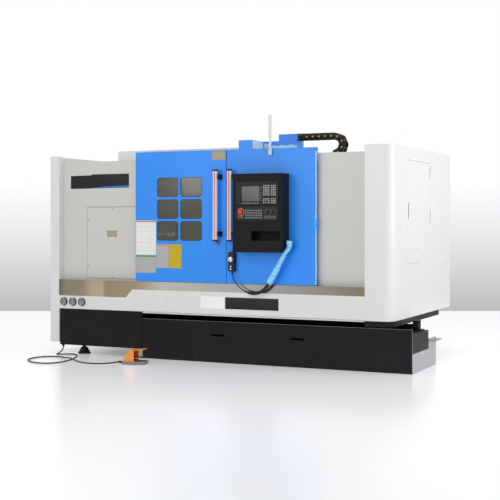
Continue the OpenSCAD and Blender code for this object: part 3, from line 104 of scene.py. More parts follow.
# %% [markdown]
# Every place on the machine is easier to read on a drawing in millimetres from its left front
# corner. One small function turns such a drawing point into the frame's metres, and two others read
# the place of a point, or the box of a solid, back on the drawing. A fourth shows a new object.

# %% Drawing points
ORIGIN = (1913.5, 716.958)


def at(x, y, z):
    return Vector(((x - ORIGIN[0]) / 1000, (y - ORIGIN[1]) / 1000, z / 1000))


def drawing(v):
    return v.x * 1000 + ORIGIN[0], v.y * 1000 + ORIGIN[1], v.z * 1000


def drawing_box(node):
    return [drawing(v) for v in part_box(node)]


def show(name, data):
    obj = bpy.data.objects.new(name, data)
    bpy.context.scene.collection.objects.link(obj)
    return obj


print("left front corner of the machine:", at(0, 0, 0))

# %% [markdown]
# ## The camera
# A product photograph of a long machine is taken from far away with a long lens, at half its height,
# so that upright edges stay upright. A small vertical shift frames the picture without tilting.

# %% Camera
lens = bpy.data.cameras.new("camera")
lens.sensor_width = 36
lens.lens = 78.48
lens.shift_y = -0.057
camera = show("camera", lens)
camera.location = at(6463, -9095, 1318)
camera.rotation_euler = (math.radians(90), 0, math.radians(25))
bpy.context.scene.camera = camera
print("camera stands", round((camera.location - at(1800, 0, 1000)).length, 2), "m away")

# %% [markdown]
# ## The cords
# Cords come next, because their length decides where they can lie. Each is a curve with a round
# bevel: the points are the route on the drawing, and smooth handles give the line of a cable that
# bends under its own weight. The foot switch has a mains-type cord that leaves the machine behind
# its plinth, lies on the floor in one loop and ends in the switch. The hand pulse unit hangs on a
# thin cord that goes into a sleeve and then up to the control box.

# %% Smooth routes
FLOOR = 6.5  # height of a cord's axis on the floor
FOOT_CORD, PULSE_CORD = 0.012, 0.010  # diameters
FOOT_ROUTE = [(145, 25, 69), (145, 23.5, 56), (145.5, 12, 40), (149, -14, 24), (156, -70, 9)]
FOOT_ROUTE += [(x, y, FLOOR) for x, y in ((170, -122), (215, -110), (290, -60), (360, -75), (410, -125),
    (455, -200), (500, -300), (543, -429), (562, -535), (558, -650), (503, -735), (406, -758),
    (295, -716), (195, -628), (143, -510), (150, -400), (205, -315), (300, -290))]
FOOT_ROUTE += [(415, -338, 9), (490, -390, 17), (543, -429, 20.5), (600, -470, 16), (668, -510, 8),
    (785, -568, FLOOR), (880, -579, FLOOR), (960, -555, FLOOR), (1028, -474, 8), (1072, -435.5, 14),
    (1110.5, -426.8, 15)]
PULSE_ROUTE = [(2050, -23, 854.4), (2052, -27, 828), (2066, -35, 792), (2092, -42, 756),
    (2127, -46, 722), (2172, -50, 690), (2225, -54, 668), (2280, -58, 660), (2335, -62, 668),
    (2385, -66, 694), (2430, -70, 738), (2470, -74, 798), (2510, -77, 864), (2558, -79, 948),
    (2602, -80, 1024), (2634, -80, 1066), (2646, -80, 1092), (2648, -80, 1106), (2648, -80, 1115.2)]


def between(a, b, c, d, t):
    """A point of the smooth curve that passes through b and c."""
    third = 1.5 * (b - c) + (d - a) / 2
    return b + t * ((c - a) / 2 + t * ((a - 2.5 * b + 2 * c - d / 2) + t * third))


def smooth(route, parts):
    p = [at(*q) for q in route]
    last = len(p) - 1
    line = [between(p[max(i - 1, 0)], p[i], p[i + 1], p[min(i + 2, last)], k / parts)
        for i in range(last) for k in range(parts)]
    return line + [p[last]]


def length_of(line):
    return sum((b - a).length for a, b in zip(line, line[1:]))


def cord_curve(name, line, diameter):
    curve = bpy.data.curves.new(name, "CURVE")
    curve.dimensions = "3D"
    curve.bevel_depth = diameter / 2
    curve.bevel_resolution = 4
    curve.use_fill_caps = True
    spline = curve.splines.new("POLY")
    spline.points.add(len(line) - 1)
    for point, place in zip(spline.points, line):
        point.co = (*place, 1)
    return show(name, curve)


foot_line = smooth(FOOT_ROUTE, 5)
pulse_line = smooth(PULSE_ROUTE, 6)
foot_cord = cord_curve("foot_switch_cord", foot_line, FOOT_CORD)
pulse_cord = cord_curve("hand_pulse_cord", pulse_line, PULSE_CORD)
print("foot cord", round(length_of(foot_line), 3), "m, pulse cord", round(length_of(pulse_line), 3), "m")

# %% [markdown]
# ## Floor, backdrop and light
# Looks are built from nodes, and many of them. A few helpers keep that short: one adds a node and
# fills its inputs, one makes a colour ramp, one moves a value into another range, and one starts a
# material and keeps it in a list of finishes.

# %% Nodes in few words
finishes = {}


def put(tree, kind, inputs=None, **settings):
    """Adds a node, sets its settings, and fills its inputs with values or links."""
    made = tree.nodes.new(kind)
    for name, value in settings.items():
        setattr(made, name, value)
    for name, value in (inputs or {}).items():
        if isinstance(value, bpy.types.NodeSocket):
            tree.links.new(value, made.inputs[name])
        else:
            made.inputs[name].default_value = value
    return made


def ramp(tree, factor, stops):
    made = put(tree, "ShaderNodeValToRGB", {"Fac": factor})
    for stop in stops[2:]:
        made.color_ramp.elements.new(stop[0])
    for element, (place, colour) in zip(made.color_ramp.elements, sorted(stops)):
        element.position = place
        element.color = (*colour[:3], 1)
    return made.outputs["Color"]


def remap(tree, value, low, high, start=0.0, end=1.0):
    """Moves a value from the range start to end into the range low to high."""
    return put(tree, "ShaderNodeMapRange", {"Value": value, "From Min": start, "From Max": end,
        "To Min": low, "To Max": high}).outputs[0]


def material(name, fixed):
    made = finishes[name] = bpy.data.materials.new(name)
    made.use_nodes = True
    shader = made.node_tree.nodes["Principled BSDF"]
    for title, value in fixed.items():
        shader.inputs[title].default_value = value
    return made.node_tree, shader.inputs


print("node helpers ready")

# %% [markdown]
# The machine stands in front of a wall that fades from white to pale grey. A world whose colour
# changes with height gives that without a wall. The camera, mirrors and glass see the fade; the rest
# of the world's light stays plain and soft, so that each paint shows about the colour written for it.

# %% World
WALL_FOOT, WALL_TOP = -0.082, 0.034
world = bpy.data.worlds.new("studio")
bpy.context.scene.world = world
world.use_nodes = True
tree = world.node_tree
tree.nodes.clear()
direction = put(tree, "ShaderNodeTexCoord")
height = put(tree, "ShaderNodeSeparateXYZ", {0: direction.outputs["Generated"]})
rise = remap(tree, height.outputs["Z"], 0.0, 1.0, WALL_FOOT, WALL_TOP)
wall = ramp(tree, rise, [(0.0, (0.50, 0.50, 0.50)), (0.55, (0.80, 0.80, 0.80)), (1.0, (1, 1, 1))])
seen = put(tree, "ShaderNodeBackground", {"Color": wall, "Strength": 1.0})
soft = put(tree, "ShaderNodeBackground", {"Color": (1.0, 1.0, 1.0, 1), "Strength": 0.46})
path = put(tree, "ShaderNodeLightPath")
ray = path.outputs["Is Camera Ray"]
for kind in ("Is Glossy Ray", "Is Transmission Ray"):
    ray = put(tree, "ShaderNodeMath", {0: ray, 1: path.outputs[kind]}, operation="MAXIMUM").outputs[0]
mixed = put(tree, "ShaderNodeMixShader", {0: ray, 1: soft.outputs[0], 2: seen.outputs[0]})
put(tree, "ShaderNodeOutputWorld", {"Surface": mixed.outputs[0]})
bpy.context.scene.view_settings.view_transform = "Standard"
print("world nodes:", len(tree.nodes))

# %% [markdown]
# The studio floor is a plane that ends at the wall's foot. It shines a little, so that the machine
# stands on a soft mirror image, and glows a little, so that it stays white.

# %% Floor
NEAR, FAR, WIDE, STAND = -14.0, 6.95, 16.0, 9.1
floor_mesh = bpy.data.meshes.new("studio_floor")
turn = Matrix.Rotation(math.radians(25), 4, "Z")
corners = [turn @ Vector((x, y, 0)) for x, y in ((-WIDE, NEAR), (WIDE, NEAR), (WIDE, FAR), (-WIDE, FAR))]
aim = turn.inverted() @ Vector((camera.location.x, camera.location.y, 0))
floor_mesh.from_pydata([c + turn @ Vector((aim.x, aim.y + STAND, 0)) for c in corners], [], [(0, 1, 2, 3)])
floor = show("studio_floor", floor_mesh)
floor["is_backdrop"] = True
material("studio_floor", {"Base Color": (0.94, 0.94, 0.945, 1), "Emission Color": (1, 1, 1, 1),
    "Emission Strength": 0.20, "Roughness": 0.22, "Specular IOR Level": 0.55})
floor_mesh.materials.append(finishes["studio_floor"])
print("floor reaches", round(FAR + STAND, 2), "m from the camera")

# %% [markdown]
# Three softboxes give the broad light of a studio, from the front, the right and above. A small work
# light behind the doors keeps the inside from going black.

# %% Lamps
def lamp(name, place, target, size, power):
    light = bpy.data.lights.new(name, "AREA")
    light.shape = "RECTANGLE"
    light.size, light.size_y = size
    light.energy = power
    obj = show(name, light)
    obj.location = place
    obj.rotation_euler = (target - place).to_track_quat("-Z", "Y").to_euler()


middle = at(1800, 600, 1000)
lamp("key_softbox", at(1300, -6000, 3600), middle, (6.5, 4.0), 135)
lamp("right_softbox", at(7600, 500, 2500), middle, (4.0, 3.0), 108)
lamp("work_light", at(1500, 330, 1840), at(1350, 640, 1150), (0.6, 0.12), 2.5)
lamp("top_softbox", at(1800, 900, 5200), middle, (5.0, 3.0), 50)

# %% [markdown]
# ## Effects that several finishes share
# Edges, enamel, dust, grinding and grain come back in many finishes. Each is a node group, so that
# every finish can use it with its own numbers. A group gives colours, masks, heights or normals only,
# and the shader stays in the material.

# %% Group helper
def effect(name, inputs, outputs):
    made = bpy.data.node_groups.new(name, "ShaderNodeTree")
    kinds = {"value": "NodeSocketFloat", "colour": "NodeSocketColor", "normal": "NodeSocketVector"}
    for title, kind, start in inputs:
        socket = made.interface.new_socket(title, in_out="INPUT", socket_type=kinds[kind])
        if start is not None:
            socket.default_value = start
    for title, kind in outputs:
        made.interface.new_socket(title, in_out="OUTPUT", socket_type=kinds[kind])
    return made, put(made, "NodeGroupInput").outputs, put(made, "NodeGroupOutput").inputs


def link(tree, source, target):
    tree.links.new(source, target)


def maths(tree, operation, a, b=0.0, clamp=False):
    return put(tree, "ShaderNodeMath", {0: a, 1: b}, operation=operation, use_clamp=clamp).outputs[0]


def swing(tree, field, reach):
    """Turns a field between 0 and 1 into one that swings round zero."""
    return maths(tree, "MULTIPLY", maths(tree, "SUBTRACT", field, 0.5), reach)


def own_place(tree):
    """Where a point lies on its object, so that a pattern moves with the object."""
    return put(tree, "ShaderNodeTexCoord").outputs["Object"]


def noise_field(tree, scale, detail=3.0, stretch=None, rough=0.5):
    place = own_place(tree)
    if stretch:
        place = put(tree, "ShaderNodeMapping", {"Vector": place, "Scale": stretch}).outputs[0]
    return put(tree, "ShaderNodeTexNoise", {"Vector": place, "Scale": scale, "Detail": detail,
        "Roughness": rough}).outputs["Fac"]


print("group helpers ready")

# %% [markdown]
# Sheet metal is never quite sharp: a folded or cut edge has a small radius that catches the light,
# and paint wears there first. This group rounds the shading of edges instead of the mesh. Where the
# rounded normal leaves the flat one there is an edge, and that makes the mask.

# %% Rounded edges
edges, given, result = effect("rounded_edges", [("Radius", "value", 0.0015)],
    [("Normal", "normal"), ("Edge", "value")])
rounded = put(edges, "ShaderNodeBevel", {"Radius": given["Radius"]}, samples=3).outputs[0]
flat = put(edges, "ShaderNodeNewGeometry").outputs["Normal"]
along = put(edges, "ShaderNodeVectorMath", {0: rounded, 1: flat}, operation="DOT_PRODUCT").outputs["Value"]
bent = maths(edges, "SUBTRACT", 1.0, along, True)
link(edges, rounded, result["Normal"])
link(edges, maths(edges, "MULTIPLY", bent, 6.0, True), result["Edge"])
print("group:", edges.name)

# %% [markdown]
# Sprayed enamel dries with a faint orange-peel and an uneven tone. Slow noise shifts its tone and
# shine, and very fine noise is the height of the peel.

# %% Sprayed enamel
enamel, given, result = effect("sprayed_enamel", [("Colour", "colour", (1, 1, 1, 1)), ("Tone", "value", 0.03),
    ("Roughness", "value", 0.35)], [("Colour", "colour"), ("Roughness", "value"), ("Height", "value")])
shift = swing(enamel, noise_field(enamel, 1.3, 4.0), given["Tone"])
lit = put(enamel, "ShaderNodeHueSaturation", {"Value": maths(enamel, "ADD", 1.0, shift), "Color": given["Colour"]})
link(enamel, lit.outputs[0], result["Colour"])
uneven = swing(enamel, noise_field(enamel, 6.0), 0.12)
link(enamel, maths(enamel, "ADD", given["Roughness"], uneven, True), result["Roughness"])
link(enamel, noise_field(enamel, 420.0, 2.0), result["Height"])
print("group:", enamel.name)

# %% [markdown]
# Dust settles on what faces up and near the floor. The mask adds both and breaks them up by speckle.

# %% Settled dust
dust, given, result = effect("settled_dust", [("Amount", "value", 0.3)], [("Mask", "value")])
normal = put(dust, "ShaderNodeNewGeometry").outputs["Normal"]
up, height = (put(dust, "ShaderNodeSeparateXYZ", {0: source}).outputs["Z"]
    for source in (normal, own_place(dust)))
near_floor = remap(dust, height, 0.0, 1.0, 0.35, 0.0)
settled = maths(dust, "ADD", maths(dust, "MULTIPLY", up, 0.8, True), maths(dust, "MULTIPLY", near_floor, 0.35))
speckle = remap(dust, noise_field(dust, 9.0, 6.0, rough=0.7), 0.0, 1.0, 0.35, 0.75)
amount = maths(dust, "MULTIPLY", maths(dust, "MULTIPLY", settled, speckle), given["Amount"], True)
link(dust, amount, result["Mask"])
print("group:", dust.name)

# %% [markdown]
# Ground metal has fine lines along one direction, and turned metal has rings. Noise drawn out along X
# gives the lines, noise pressed together along X gives the rings, and one value picks between them.

# %% Ground metal
ground, given, result = effect("ground_metal", [("Along X", "value", 1.0), ("Roughness", "value", 0.25)],
    [("Roughness", "value"), ("Height", "value"), ("Shade", "value")])
lines = noise_field(ground, 60.0, 4.0, stretch=(0.03, 6.0, 6.0))
rings = noise_field(ground, 60.0, 4.0, stretch=(6.0, 0.4, 0.4))
pick = put(ground, "ShaderNodeMix", {0: given["Along X"], 2: rings, 3: lines}).outputs[0]
link(ground, maths(ground, "ADD", given["Roughness"], swing(ground, pick, 0.25), True), result["Roughness"])
link(ground, pick, result["Height"])
shade = maths(ground, "MULTIPLY", noise_field(ground, 4.0, 3.0), 0.2)
link(ground, maths(ground, "ADD", 0.9, shade), result["Shade"])
print("group:", ground.name)

# %% [markdown]
# Moulded plastic and textured black paint are covered with small round bumps. The distance to the
# middle of a cell in a cell pattern has that form, so it becomes the height.

# %% Fine texture
texture, given, result = effect("fine_texture", [("Scale", "value", 900.0), ("Roughness", "value", 0.5)],
    [("Height", "value"), ("Roughness", "value"), ("Shade", "value")])
cells = put(texture, "ShaderNodeTexVoronoi", {"Vector": own_place(texture), "Scale": given["Scale"]})
tone = noise_field(texture, 3.0, 3.0)
link(texture, cells.outputs["Distance"], result["Height"])
link(texture, maths(texture, "ADD", given["Roughness"], swing(texture, tone, 0.2), True), result["Roughness"])
link(texture, maths(texture, "ADD", 0.92, maths(texture, "MULTIPLY", tone, 0.16)), result["Shade"])
print("group:", texture.name)

# %% [markdown]
# ## Finishes
# Each finish is a Principled shader that stays in its own material, fed by the shared groups. Numbers
# that are the same everywhere sit on the shader. Colours are written as they are read off a screen.

# %% Material helper
def use(tree, group, **values):
    inputs = {name.replace("_", " "): value for name, value in values.items()}
    return put(tree, "ShaderNodeGroup", inputs, node_tree=group).outputs


def mix(tree, factor, a, b):
    return put(tree, "ShaderNodeMix", {0: factor, 6: a, 7: b}, data_type="RGBA").outputs[2]


def bump(tree, height, normal, distance, strength=0.5):
    return put(tree, "ShaderNodeBump", {"Height": height, "Normal": normal, "Distance": distance,
        "Strength": strength}).outputs[0]


def shaded(tree, colour, value):
    return put(tree, "ShaderNodeHueSaturation", {"Value": value, "Color": colour}).outputs[0]


def srgb(*levels):
    """A colour as it is read off a screen, turned into the linear light that shaders count in."""
    shares = [level / 255 for level in levels]
    return tuple(c / 12.92 if c <= 0.04045 else ((c + 0.055) / 1.055) ** 2.4 for c in shares) + (1,)


def lighter(colour, gain, lift):
    return tuple(min(1.0, c * gain + lift) for c in colour[:3]) + (1,)


print("middle grey in linear light:", round(srgb(128)[0], 3))

# %% [markdown]
# Painted sheet gets its colour from the enamel group, a little dust, lighter edges where it is worn,
# and a bump so faint that it only breaks up reflections.

# %% Painted sheet metal
PALE_DUST, GREY_DUST = (0.52, 0.50, 0.46, 1), (0.45, 0.44, 0.42, 1)


def painted(name, colour, rough, coat=0.15, tone=0.03, worn=0.25):
    tree, to = material(name, {"Coat Weight": coat, "Coat Roughness": 0.12, "IOR": 1.5})
    paint = use(tree, enamel, Colour=colour, Tone=tone, Roughness=rough)
    edge = use(tree, edges, Radius=0.0018)
    patchy = maths(tree, "MULTIPLY", noise_field(tree, 25.0), worn)
    chipped = maths(tree, "MULTIPLY", edge["Edge"], patchy, True)
    shown = mix(tree, chipped, paint["Colour"], lighter(colour, 1.25, 0.02))
    lay = use(tree, dust, Amount=0.25)["Mask"]
    link(tree, mix(tree, lay, shown, PALE_DUST), to["Base Color"])
    dull = maths(tree, "MULTIPLY", lay, 0.4)
    link(tree, maths(tree, "ADD", paint["Roughness"], dull, True), to["Roughness"])
    link(tree, bump(tree, paint["Height"], edge["Normal"], 0.00006), to["Normal"])


painted("white_paint", srgb(224, 225, 224), 0.30, coat=0.3)
painted("grey_paint", srgb(205, 205, 200), 0.42, coat=0.1)
painted("blue_paint", srgb(28, 140, 246), 0.36, coat=0.1)
painted("tank_paint", srgb(160, 162, 168), 0.45, tone=0.06)
painted("switch_paint", srgb(122, 123, 125), 0.45, tone=0.06)
painted("orange_paint", srgb(240, 148, 38), 0.40, worn=0.6, tone=0.06)
print("finishes with the floor's:", list(finishes))

# %% [markdown]
# The black covers and the control box have a textured paint: small round bumps, a wide soft shine
# and dust that shows on every level edge. Plastics, rubber, castings and printed sheets are the same
# finish with other numbers, so they come from one function.

# %% Textured black paint, plastics, rubber and print
def textured(name, colour, rough, grain, depth, dusty=0.0, coat=0.0, worn=0.0, shine=0.4):
    tree, to = material(name, {"Coat Weight": coat, "IOR": 1.48, "Specular IOR Level": shine})
    skin = use(tree, texture, Scale=grain, Roughness=rough)
    edge = use(tree, edges, Radius=0.0012)
    tone = shaded(tree, colour, skin["Shade"])
    shown = mix(tree, maths(tree, "MULTIPLY", edge["Edge"], worn), tone, lighter(colour, 1.6, 0.03))
    lay = use(tree, dust, Amount=dusty)["Mask"]
    link(tree, mix(tree, lay, shown, GREY_DUST), to["Base Color"])
    link(tree, skin["Roughness"], to["Roughness"])
    link(tree, bump(tree, skin["Height"], edge["Normal"], depth), to["Normal"])


textured("black_paint", srgb(25, 26, 29), 0.50, 900.0, 0.00012, dusty=0.06, worn=0.3, shine=0.12)
textured("black_plastic", srgb(24, 25, 27), 0.45, 1400.0, 0.00006, worn=0.25, shine=0.28)
textured("handle_plastic", srgb(236, 232, 228), 0.38, 1200.0, 0.00004)
textured("rubber", srgb(24, 24, 26), 0.62, 700.0, 0.00008, dusty=0.10)
textured("casting", srgb(118, 124, 128), 0.50, 260.0, 0.00025, dusty=0.10, worn=0.4)
KEYS = {"key_plastic": ((172, 176, 172), 0.42), "dim_key": ((124, 128, 126), 0.42),
    "teal_plastic": ((70, 150, 142), 0.40)}
GLOSSY = {"red_plastic": ((206, 32, 30), 0.28, 0.3), "green_plastic": ((40, 150, 62), 0.30, 0.3),
    "yellow_plastic": ((238, 200, 60), 0.32, 0.2), "amber_plastic": ((230, 160, 40), 0.34, 0.2)}
PRINTS = {"khaki_print": ((168, 158, 132), 0.45), "pale_print": ((232, 232, 228), 0.45),
    "grey_print": ((176, 176, 174), 0.45), "yellow_print": ((196, 170, 24), 0.45),
    "salmon_print": ((222, 130, 118), 0.45), "white_print": ((246, 246, 246), 0.40),
    "blue_print": ((52, 110, 190), 0.40)}
for name, (colour, rough) in KEYS.items():
    textured(name, srgb(*colour), rough, 1800.0, 0.00003)
for name, (colour, rough, coat) in GLOSSY.items():
    textured(name, srgb(*colour), rough, 1500.0, 0.00002, coat=coat)
for name, (colour, rough) in PRINTS.items():
    textured(name, srgb(*colour), rough, 1500.0, 0.00001)
print("finishes:", len(finishes))

# %% [markdown]
# Bare steel shows how it was worked. Slides and guards are ground along the machine, turned pieces
# have rings round their axis, and the long strip on the front is polished until it mirrors the room.

# %% Metals
def bare_metal(name, colour, rough, along_x, depth):
    tree, to = material(name, {"Metallic": 1.0})
    work = use(tree, ground, Along_X=along_x, Roughness=rough)
    edge = use(tree, edges, Radius=0.0012)
    link(tree, shaded(tree, colour, work["Shade"]), to["Base Color"])
    link(tree, work["Roughness"], to["Roughness"])
    link(tree, bump(tree, work["Height"], edge["Normal"], depth), to["Normal"])


bare_metal("machined_steel", srgb(206, 208, 210), 0.28, 1.0, 0.00005)
bare_metal("turned_steel", srgb(172, 174, 178), 0.32, 0.0, 0.00004)
bare_metal("gauge_metal", srgb(204, 205, 206), 0.26, 1.0, 0.00003)
print("finishes with the metals:", len(finishes))

# %% [markdown]
# The polished strip carries a haze of handling in its roughness. Its colour carries painted reflections
# of the room: broad soft bands, warm where the workshop's floor and timber crates stand opposite. These
# painted reflections belong to the strip's surface, so they stay in place when the view moves.

# %% Polished strip
STRIP_ENDS = (-1.80, 1.42)
# colours of the painted reflection of the room, along the strip
PAINTED_REFLECTION_BANDS = [(0.0, (112, 106, 94)), (0.02, (140, 134, 116)), (0.08, (144, 136, 116)), (0.12, (178, 166, 140)),
    (0.16, (180, 168, 142)), (0.17, (154, 140, 114)), (0.27, (158, 144, 120)), (0.36, (192, 186, 176)),
    (0.60, (170, 172, 170)), (1.0, (130, 124, 108))]
tree, to = material("polished_steel", {"Metallic": 1.0})
along = put(tree, "ShaderNodeSeparateXYZ", {0: own_place(tree)}).outputs["X"]
wobble = swing(tree, noise_field(tree, 1.6, 2.0, stretch=(1.0, 1.0, 0.2)), 0.02)
wave = maths(tree, "ADD", remap(tree, along, 0.0, 1.0, *STRIP_ENDS), wobble)
link(tree, ramp(tree, wave, [(share, srgb(*colour)) for share, colour in PAINTED_REFLECTION_BANDS]), to["Base Color"])
haze = noise_field(tree, 3.0, 5.0, stretch=(1.0, 1.0, 3.0))
link(tree, remap(tree, haze, 0.10, 0.26), to["Roughness"])
link(tree, use(tree, edges, Radius=0.001)["Normal"], to["Normal"])
print("strip bands:", len(PAINTED_REFLECTION_BANDS))

# %% [markdown]
# The door's panes are thick laminated glass, tinted so that the work light doesn't dazzle. We let most
# light pass and give the glass its own brownish tint, with faint smears from wiping. The screen has a
# dull anti-glare front, the lamp a milky tube, and the gauges thin clear glass. Each of them is a
# shader with its own constants, and one noise that varies its tint and its roughness together.

# %% Glass, screen and lamp
def glassy(name, fixed, field, rough, tints=None, stretch=None):
    tree, to = material(name, fixed)
    smear = noise_field(tree, *field, stretch=stretch)
    if tints:
        stops = [(share, srgb(*colour)) for share, colour in zip((0.3, 0.7), tints)]
        link(tree, ramp(tree, smear, stops), to["Base Color"])
    link(tree, remap(tree, smear, *rough), to["Roughness"])


glassy("smoked_pane", {"Transmission Weight": 0.82, "IOR": 1.5, "Coat Weight": 0.4, "Coat Roughness": 0.03},
    (5.0, 5.0), (0.03, 0.12), ((112, 108, 92), (132, 128, 112)), stretch=(1.0, 1.0, 3.0))
glassy("screen_glass", {"IOR": 1.45, "Coat Weight": 0.15}, (7.0, 2.0), (0.25, 0.4),
    ((78, 82, 76), (96, 100, 93)))
glassy("lamp_plastic", {"Transmission Weight": 0.25, "IOR": 1.46, "Coat Weight": 0.3}, (30.0, 2.0),
    (0.18, 0.3), ((222, 226, 228), (238, 240, 240)))
glassy("gauge_glass", {"Transmission Weight": 1.0, "IOR": 1.45, "Alpha": 0.35}, (20.0, 3.0), (0.02, 0.08))
print("finishes with the glass:", len(finishes))

# %% [markdown]
# Protective film is thin, glossy and full of creases. The distance to the edge of a cell is small
# along a net of lines, so it serves as the creases: paler, clearer to see and raised by the bump.

# %% Film
def thin_film(name, colour, pale, clear):
    tree, to = material(name, {"IOR": 1.42, "Coat Weight": 0.5, "Coat Roughness": 0.08})
    crease = put(tree, "ShaderNodeTexVoronoi", {"Vector": own_place(tree), "Scale": 55.0},
        feature="DISTANCE_TO_EDGE")
    fold = remap(tree, crease.outputs["Distance"], 0.0, 1.0, 0.0, 0.35)
    link(tree, mix(tree, maths(tree, "POWER", fold, 0.6), pale, colour), to["Base Color"])
    link(tree, remap(tree, fold, 0.18, 0.34), to["Roughness"])
    link(tree, remap(tree, fold, min(1.0, clear + 0.2), clear), to["Alpha"])
    link(tree, bump(tree, fold, use(tree, edges, Radius=0.001)["Normal"], 0.0025, 0.7), to["Normal"])


thin_film("film", srgb(64, 186, 252), srgb(176, 232, 255), 1.0)
# The next two are not film: they are painted light, pale cyan for blue paint lit bright from the right, with the
# same creases.
thin_film("clear_cyan_painted_light", srgb(196, 236, 252), srgb(232, 248, 255), 0.9)
thin_film("pale_cyan_painted_light", srgb(120, 212, 252), srgb(206, 242, 255), 0.8)
print("finishes in all:", len(finishes))

# %% [markdown]
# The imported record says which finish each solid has, so the painted model starts from that list. Turned
# steel pieces get the rings of turning, and the foot switch a darker grey than the tank.

# %% Paint the solids
TURNED = ("spindle", "chuck_body", "motor_pulley", "feed_screw", "tailstock_quill", "handwheel", "turret_disc")
OWN = {"foot_switch_base": "switch_paint", **dict.fromkeys(TURNED, "turned_steel")}
for part in frame["record"]["subparts"]:
    mesh = nodes[part["node"]].data
    mesh.materials.clear()
    mesh.materials.append(finishes[OWN.get(part["node"], part["material_slot"])])

# %% [markdown]
# ## Building small fittings
# Screws, plates and dials are meshes made in code. Most fittings are a block with softened edges, or a
# plate or ring with a rounded outline. A plate is two equal outlines with faces between them, and only
# its front rim is softened, because the back lies on the machine.

# %% Blocks, plates and rings
QUADS = ((0, 1, 3, 2), (4, 6, 7, 5), (0, 4, 5, 1), (2, 3, 7, 6), (0, 2, 6, 4), (1, 5, 7, 3))


def soften(bm, rim, width, steps=2):
    bmesh.ops.bevel(bm, geom=rim, offset=width / 1000, segments=steps, affect="EDGES", profile=0.6)


def add_block(bm, x, y, z, soft=1.0, steps=2):
    corners = [bm.verts.new(at(a, b, c)) for a in x for b in y for c in z]
    faces = [bm.faces.new([corners[i] for i in q]) for q in QUADS]
    if soft:
        soften(bm, list({e for f in faces for e in f.edges}), soft, steps)


def join(bm, a, b, closed=True):
    """Faces between two rows of points. A closed row goes on from its last point to its first."""
    count = len(a)
    for i in range(count if closed else count - 1):
        j = (i + 1) % count
        bm.faces.new((a[i], b[i], b[j], a[j]))


def add_prism(bm, a, b):
    """A closed body between two equal outlines. It gives back the face at the first one."""
    face = bm.faces.new(a)
    bm.faces.new(b[::-1])
    join(bm, a, b)
    return face


def add_plate(bm, outline, y, soft=0.0):
    """A plate that faces the front: outline holds (x, z) points, y its front and back."""
    face = add_prism(bm, *([bm.verts.new(at(px, depth, pz)) for px, pz in outline] for depth in y))
    if soft:
        soften(bm, list(face.edges), soft)


def add_ring(bm, outer, inner, y):
    """A flat frame between two outlines with the same number of points."""
    loops = [[bm.verts.new(at(px, depth, pz)) for px, pz in line] for line in (outer, inner) for depth in y]
    for a, b in ((0, 1), (1, 3), (3, 2), (2, 0)):
        join(bm, loops[a], loops[b])


def round_outline(x, z, r, steps=5):
    points = []
    centres = ((x[1] - r, z[1] - r), (x[0] + r, z[1] - r), (x[0] + r, z[0] + r), (x[1] - r, z[0] + r))
    for quarter, (cx, cz) in enumerate(centres):
        for k in range(steps + 1):
            a = math.radians(90 * quarter + 90 * k / steps)
            points.append((cx + r * math.cos(a), cz + r * math.sin(a)))
    return points


print("points of a rounded outline:", len(round_outline((0, 100), (0, 100), 10)))

# %% [markdown]
# Screws, rims and knobs are turned on a lathe, so here too a profile goes round an axis. The axis leaves
# the face on which the piece sits, and a point with no radius closes the profile in one tip.

# %% Turned pieces
AXES = {"front": ((1, 0, 0), (0, 0, 1), (0, -1, 0)), "back": ((-1, 0, 0), (0, 0, 1), (0, 1, 0)),
    "right": ((0, 1, 0), (0, 0, 1), (1, 0, 0)), "left": ((0, -1, 0), (0, 0, 1), (-1, 0, 0)),
    "up": ((1, 0, 0), (0, 1, 0), (0, 0, 1))}
SCREW = ((0, 0.4), (0.42, 0.4), (0.48, 0.75), (0.8, 0.7), (1, 0.35))


def add_turned(bm, centre, profile, facing="front", steps=20):
    """Turns a profile of (radius, height) points, in millimetres, round the axis that leaves the face."""
    u, v, w = (Vector(a) for a in AXES[facing])
    base = at(*centre)
    rows = []
    for r, h in profile:
        angles = (2 * math.pi * k / steps for k in range(steps if r else 1))
        rows.append([bm.verts.new(base + (u * math.cos(a) + v * math.sin(a)) * r / 1000 + w * h / 1000)
            for a in angles])
    for low, high in zip(rows, rows[1:]):
        for k in range(steps):
            n = (k + 1) % steps
            ring = [low[k % len(low)], low[n % len(low)], high[n % len(high)], high[k % len(high)]]
            bm.faces.new(list(dict.fromkeys(ring)))


def add_screw(bm, centre, r=5.0, facing="front"):
    add_turned(bm, centre, [(q * r, h * r) for q, h in SCREW] + [(r, -0.5)], facing, 14)


print("faces to sit on:", list(AXES))

# %% [markdown]
# A finished mesh becomes an object that is shaded smooth except at sharp edges, has its finish and rides
# on a body of the machine.

# %% From mesh to object
def done(name, bm, finish, body, angle=35):
    bmesh.ops.recalc_face_normals(bm, faces=bm.faces)
    mesh = bpy.data.meshes.new(name)
    bm.to_mesh(mesh)
    bm.free()
    mesh.polygons.foreach_set("use_smooth", [True] * len(mesh.polygons))
    mesh.set_sharp_from_angle(angle=math.radians(angle))
    mesh.materials.append(finishes[finish])
    obj = show(name, mesh)
    if body:
        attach(obj, body)
    return obj


def piece(name, finish, body, slot, *calls):
    """A piece made by one or more calls, each given as a helper and its values."""
    bm = bmesh.new()
    for add, *values in calls:
        add(bm, *values)
    return done(name, bm, finish, body)


print("finishes to choose from:", len(finishes))

# %% [markdown]
# ## Covers, plates and gauges
# The left cover is held by a few screws and carries a small bare plate with rivets. The flat plates on
# the panel and the apron are blank: their places are kept, with a thin painted sheet and crisp edges.

